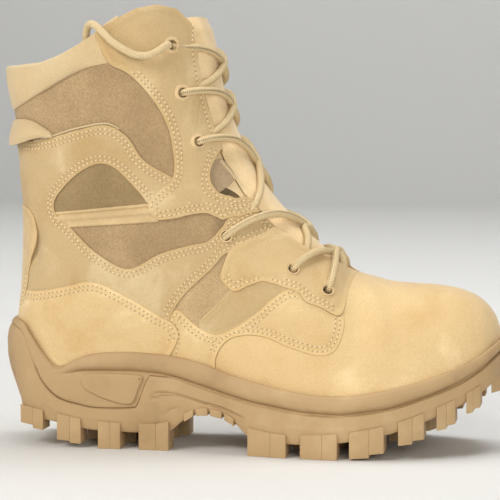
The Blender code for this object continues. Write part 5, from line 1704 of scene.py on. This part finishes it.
def buildMidsole():
    inner = {}
    for side in (-1, 1):
        low = lastRingSide(side, bedLast + 0.5, 0.4)
        mid = lastRingSide(side, bedLast * 0.4 + lipLast * 0.6, 0.4)
        lip = lastRingSide(side, lipLast - 0.8, 0.25)
        rim = wallRing(side, np.full(len(stations), 1.5), lipHere - 0.05)
        rows = [low, mid, lip]
        rows.append(lip * 0.75 + rim * 0.25 + np.array((0, 0, 0.55)))
        rows.append(lip * 0.4 + rim * 0.6 + np.array((0, 0, 0.5)))
        rows.append(rim)
        bead = np.maximum(readLine(beadSet["line"], stations), grooveHere + 0.35)
        strong = easeStep(stations, 38, 56)
        for share in beadSet["sharesAbove"]:
            heights = lipHere + (bead - lipHere) * share
            plain = readLine(beadSet["plain"], lipHere - heights)
            inset = float(readLine(beadSet["shape"], share)) * strong + plain * (1 - strong)
            rows.append(wallRing(side, inset, heights, grooves))
        for share in beadSet["sharesBelow"]:
            heights = bead + (grooveHere + 0.05 - bead) * share
            foot = 1.1 * (1 - easeStep(heights - grooveHere, 0.1, 1.5))
            inset = readLine(beadSet["below"], bead - heights) * strong
            rows.append(wallRing(side, np.maximum(inset, foot), heights, grooves))
        rows.append(wallRing(side, np.full(len(stations), 2.2), grooveHere - 0.3))
        rows.append(wallRing(side, np.full(len(stations), 2.6), np.minimum(grooveHere - 1.5, bedHere - 2.5)))
        inner[side] = rows
    rings = [(a, b) for a, b in zip(inner[-1], inner[1])]
    return loftRings("midsole_rubber", rings, rubber, ("midsole",))


def bevelBlock(mesh, corners, lows, highs, bevel, clamp=True):
    feet = [mesh.verts.new(toWorld((x, y, z))) for (x, y), z in zip(corners, lows)]
    tops = [mesh.verts.new(toWorld((x, y, z))) for (x, y), z in zip(corners, highs)]
    made = [mesh.faces.new(feet), mesh.faces.new(tops)]
    made += [mesh.faces.new([feet[i], feet[(i + 1) % 4], tops[(i + 1) % 4], tops[i]]) for i in range(4)]
    bmesh.ops.recalc_face_normals(mesh, faces=made)
    edges = list(dict.fromkeys(edge for face in made for edge in face.edges))
    bmesh.ops.bevel(mesh, geom=edges, offset=bevel * mm, segments=2, profile=0.6, affect="EDGES",
                    clamp_overlap=clamp)


def treadBlock(mesh, corners, roots, bevel):
    ground = [float(readLine(soleSet["tread"], x)) for x, _y in corners]
    bevelBlock(mesh, corners, [min(ground) * 0.7 + z * 0.3 for z in ground], roots, bevel)


def underAt(along):
    return float(np.interp(along, undersideLine[:, 0], undersideLine[:, 1]))


def buildLugs(sizes):
    mesh = bmesh.new()
    rib = sizes["rib"]
    for rear, front, slot in edgeLugs:
        for start, end in ((rear, slot - sizes["slot"] / 2), (slot + sizes["slot"] / 2, front)):
            for side in (-1, 1):
                reach = min(sizes["reach"], abs(outlineAt(start, side)) * 0.6)
                corners, roots = [], []
                for along, inset in ((start, -1), (end, -1), (end, reach), (start, reach)):
                    edge = outlineAt(along, side)
                    across = edge + side * sizes["proud"] if inset < 0 else edge - side * inset
                    corners.append((along, across))
                    roots.append(underAt(along) + (sizes["rise"] if inset < 0 else 1.5))
                treadBlock(mesh, corners, roots, sizes["bevel"])
    for start, end in archRibs:
        for side in (-1, 1):
            corners = [(x, outlineAt(x, side) - side * inset) for x, inset in
                       ((start, rib["edge"]), (end, rib["edge"]), (end, rib["reach"]), (start, rib["reach"]))]
            under = np.array([underAt(x) for x, _y in corners])
            bevelBlock(mesh, corners, under - rib["deep"], under + rib["root"], sizes["bevel"], clamp=False)
    for rear, front, half, sweep in centreLugs:
        for side in (-1, 1):
            tip = half * side
            corners = ((rear, side * 0.5), (front, side * 0.5), (front + sweep, tip), (rear + sweep, tip))
            treadBlock(mesh, corners, [underAt(x) + 1.5 for x, _y in corners], sizes["bevel"])
    treadBlock(mesh, sizes["toe"], [underAt(x) + 3.0 for x, _y in sizes["toe"]], sizes["bevel"])
    data = bpy.data.meshes.new("lug_blocks")
    mesh.to_mesh(data)
    obj = bpy.data.objects.new("lug_blocks", data)
    bpy.context.scene.collection.objects.link(obj)
    return obj


def buildOutsole():
    inner = {}
    for side in (-1, 1):
        count = len(stations)
        top = grooveHere - 0.3
        span = top - underHere
        rows = [wallRing(side, np.full(count, 2.0), np.minimum(grooveHere - 1.5, bedHere - 2.5) - 0.3),
                wallRing(side, np.full(count, 1.9), top - 0.15),
                wallRing(side, np.full(count, 1.0), top + 0.1),
                wallRing(side, np.full(count, 0.35), top - 0.15)]
        for share in np.linspace(0.04, 1.0, 36):
            inset = np.full(count, float(readLine(soleSet["profile"], share)))
            heights = top - span * share
            arch = easeStep(stations, 97, 101) * (1 - easeStep(stations, 150, 156))
            band = readLine(soleSet["archBand"], stations)
            inset = inset + 1.6 * arch * easeStep(band - heights, 0.2, 1.0)
            rows.append(wallRing(side, inset, heights, grooves))
        inner[side] = rows
    body = loftRings("outsole_rubber", [(a, b) for a, b in zip(inner[-1], inner[1])], rubber,
                     ("outsole",))
    lugs = buildLugs(lugSet)
    cutWith(body, lugs, "UNION")
    bpy.data.objects.remove(lugs)
    pick(body)
    bpy.ops.object.shade_smooth_by_angle(angle=math.radians(32))
    return body


midsole = buildMidsole()
outsole = buildOutsole()
for side, tail in ((-1, "outer"), (1, "inner")):
    face = insertSet["face"][side]
    cut = sorted((side * (face - insertSet["deep"]), side * 60))
    recess = sidePrism("recess_" + tail, growLine(insertSet["line"], insertSet["recess"]), *cut)
    cutWith(midsole, recess)
    bpy.data.objects.remove(recess)
    rows = []
    for gap, proud in insertSet["rings"]:
        line = growLine(insertSet["line"], gap)
        rows.append(np.column_stack([line[:, 0], np.full(len(line), side * (face + proud)), line[:, 1]]))
    gridPiece("side_insert_rubber_" + tail, np.array(rows), rubber, ("side_insert_" + tail,),
              closed=True, angle=50)
print("boot: sole made", len(midsole.data.polygons), len(outsole.data.polygons))


# insole
insoleSet = {"rows": ((-2.4, 0.3), (-2.5, 3.2), (-3.4, 4.1)), "level": 0.4, "steps": 12, "dish": 0.8}


def buildInsole(sizes):
    count = middle + 1
    us = np.arange(1, count - 1).astype(float)
    rows = []
    for lift, rise in sizes["rows"]:
        low = onSkin(us, np.full(len(us), sizes["level"]), np.full(len(us), lift))
        other = onSkin(2 * middle - us, np.full(len(us), sizes["level"]), np.full(len(us), lift))
        rows.append((low, other, rise))
    loops = []
    for index in range(len(us)):
        loop = []
        for low, other, rise in rows:
            loop.append(low[index] + np.array((0, 0, rise)))
        for share in np.linspace(0.06, 0.94, sizes["steps"]):
            spot = rows[-1][0][index] * (1 - share) + rows[-1][1][index] * share
            loop.append(spot + np.array((0, 0, rows[-1][2] - sizes["dish"] * math.sin(math.pi * share))))
        for low, other, rise in rows[::-1]:
            loop.append(other[index] + np.array((0, 0, rise)))
        loops.append(loop)
    return gridPiece("insole_cloth", np.array(loops), liningCloth, ("insole",), closed=True,
                     angle=60)


insole = buildInsole(insoleSet)
print("boot: insole laid")
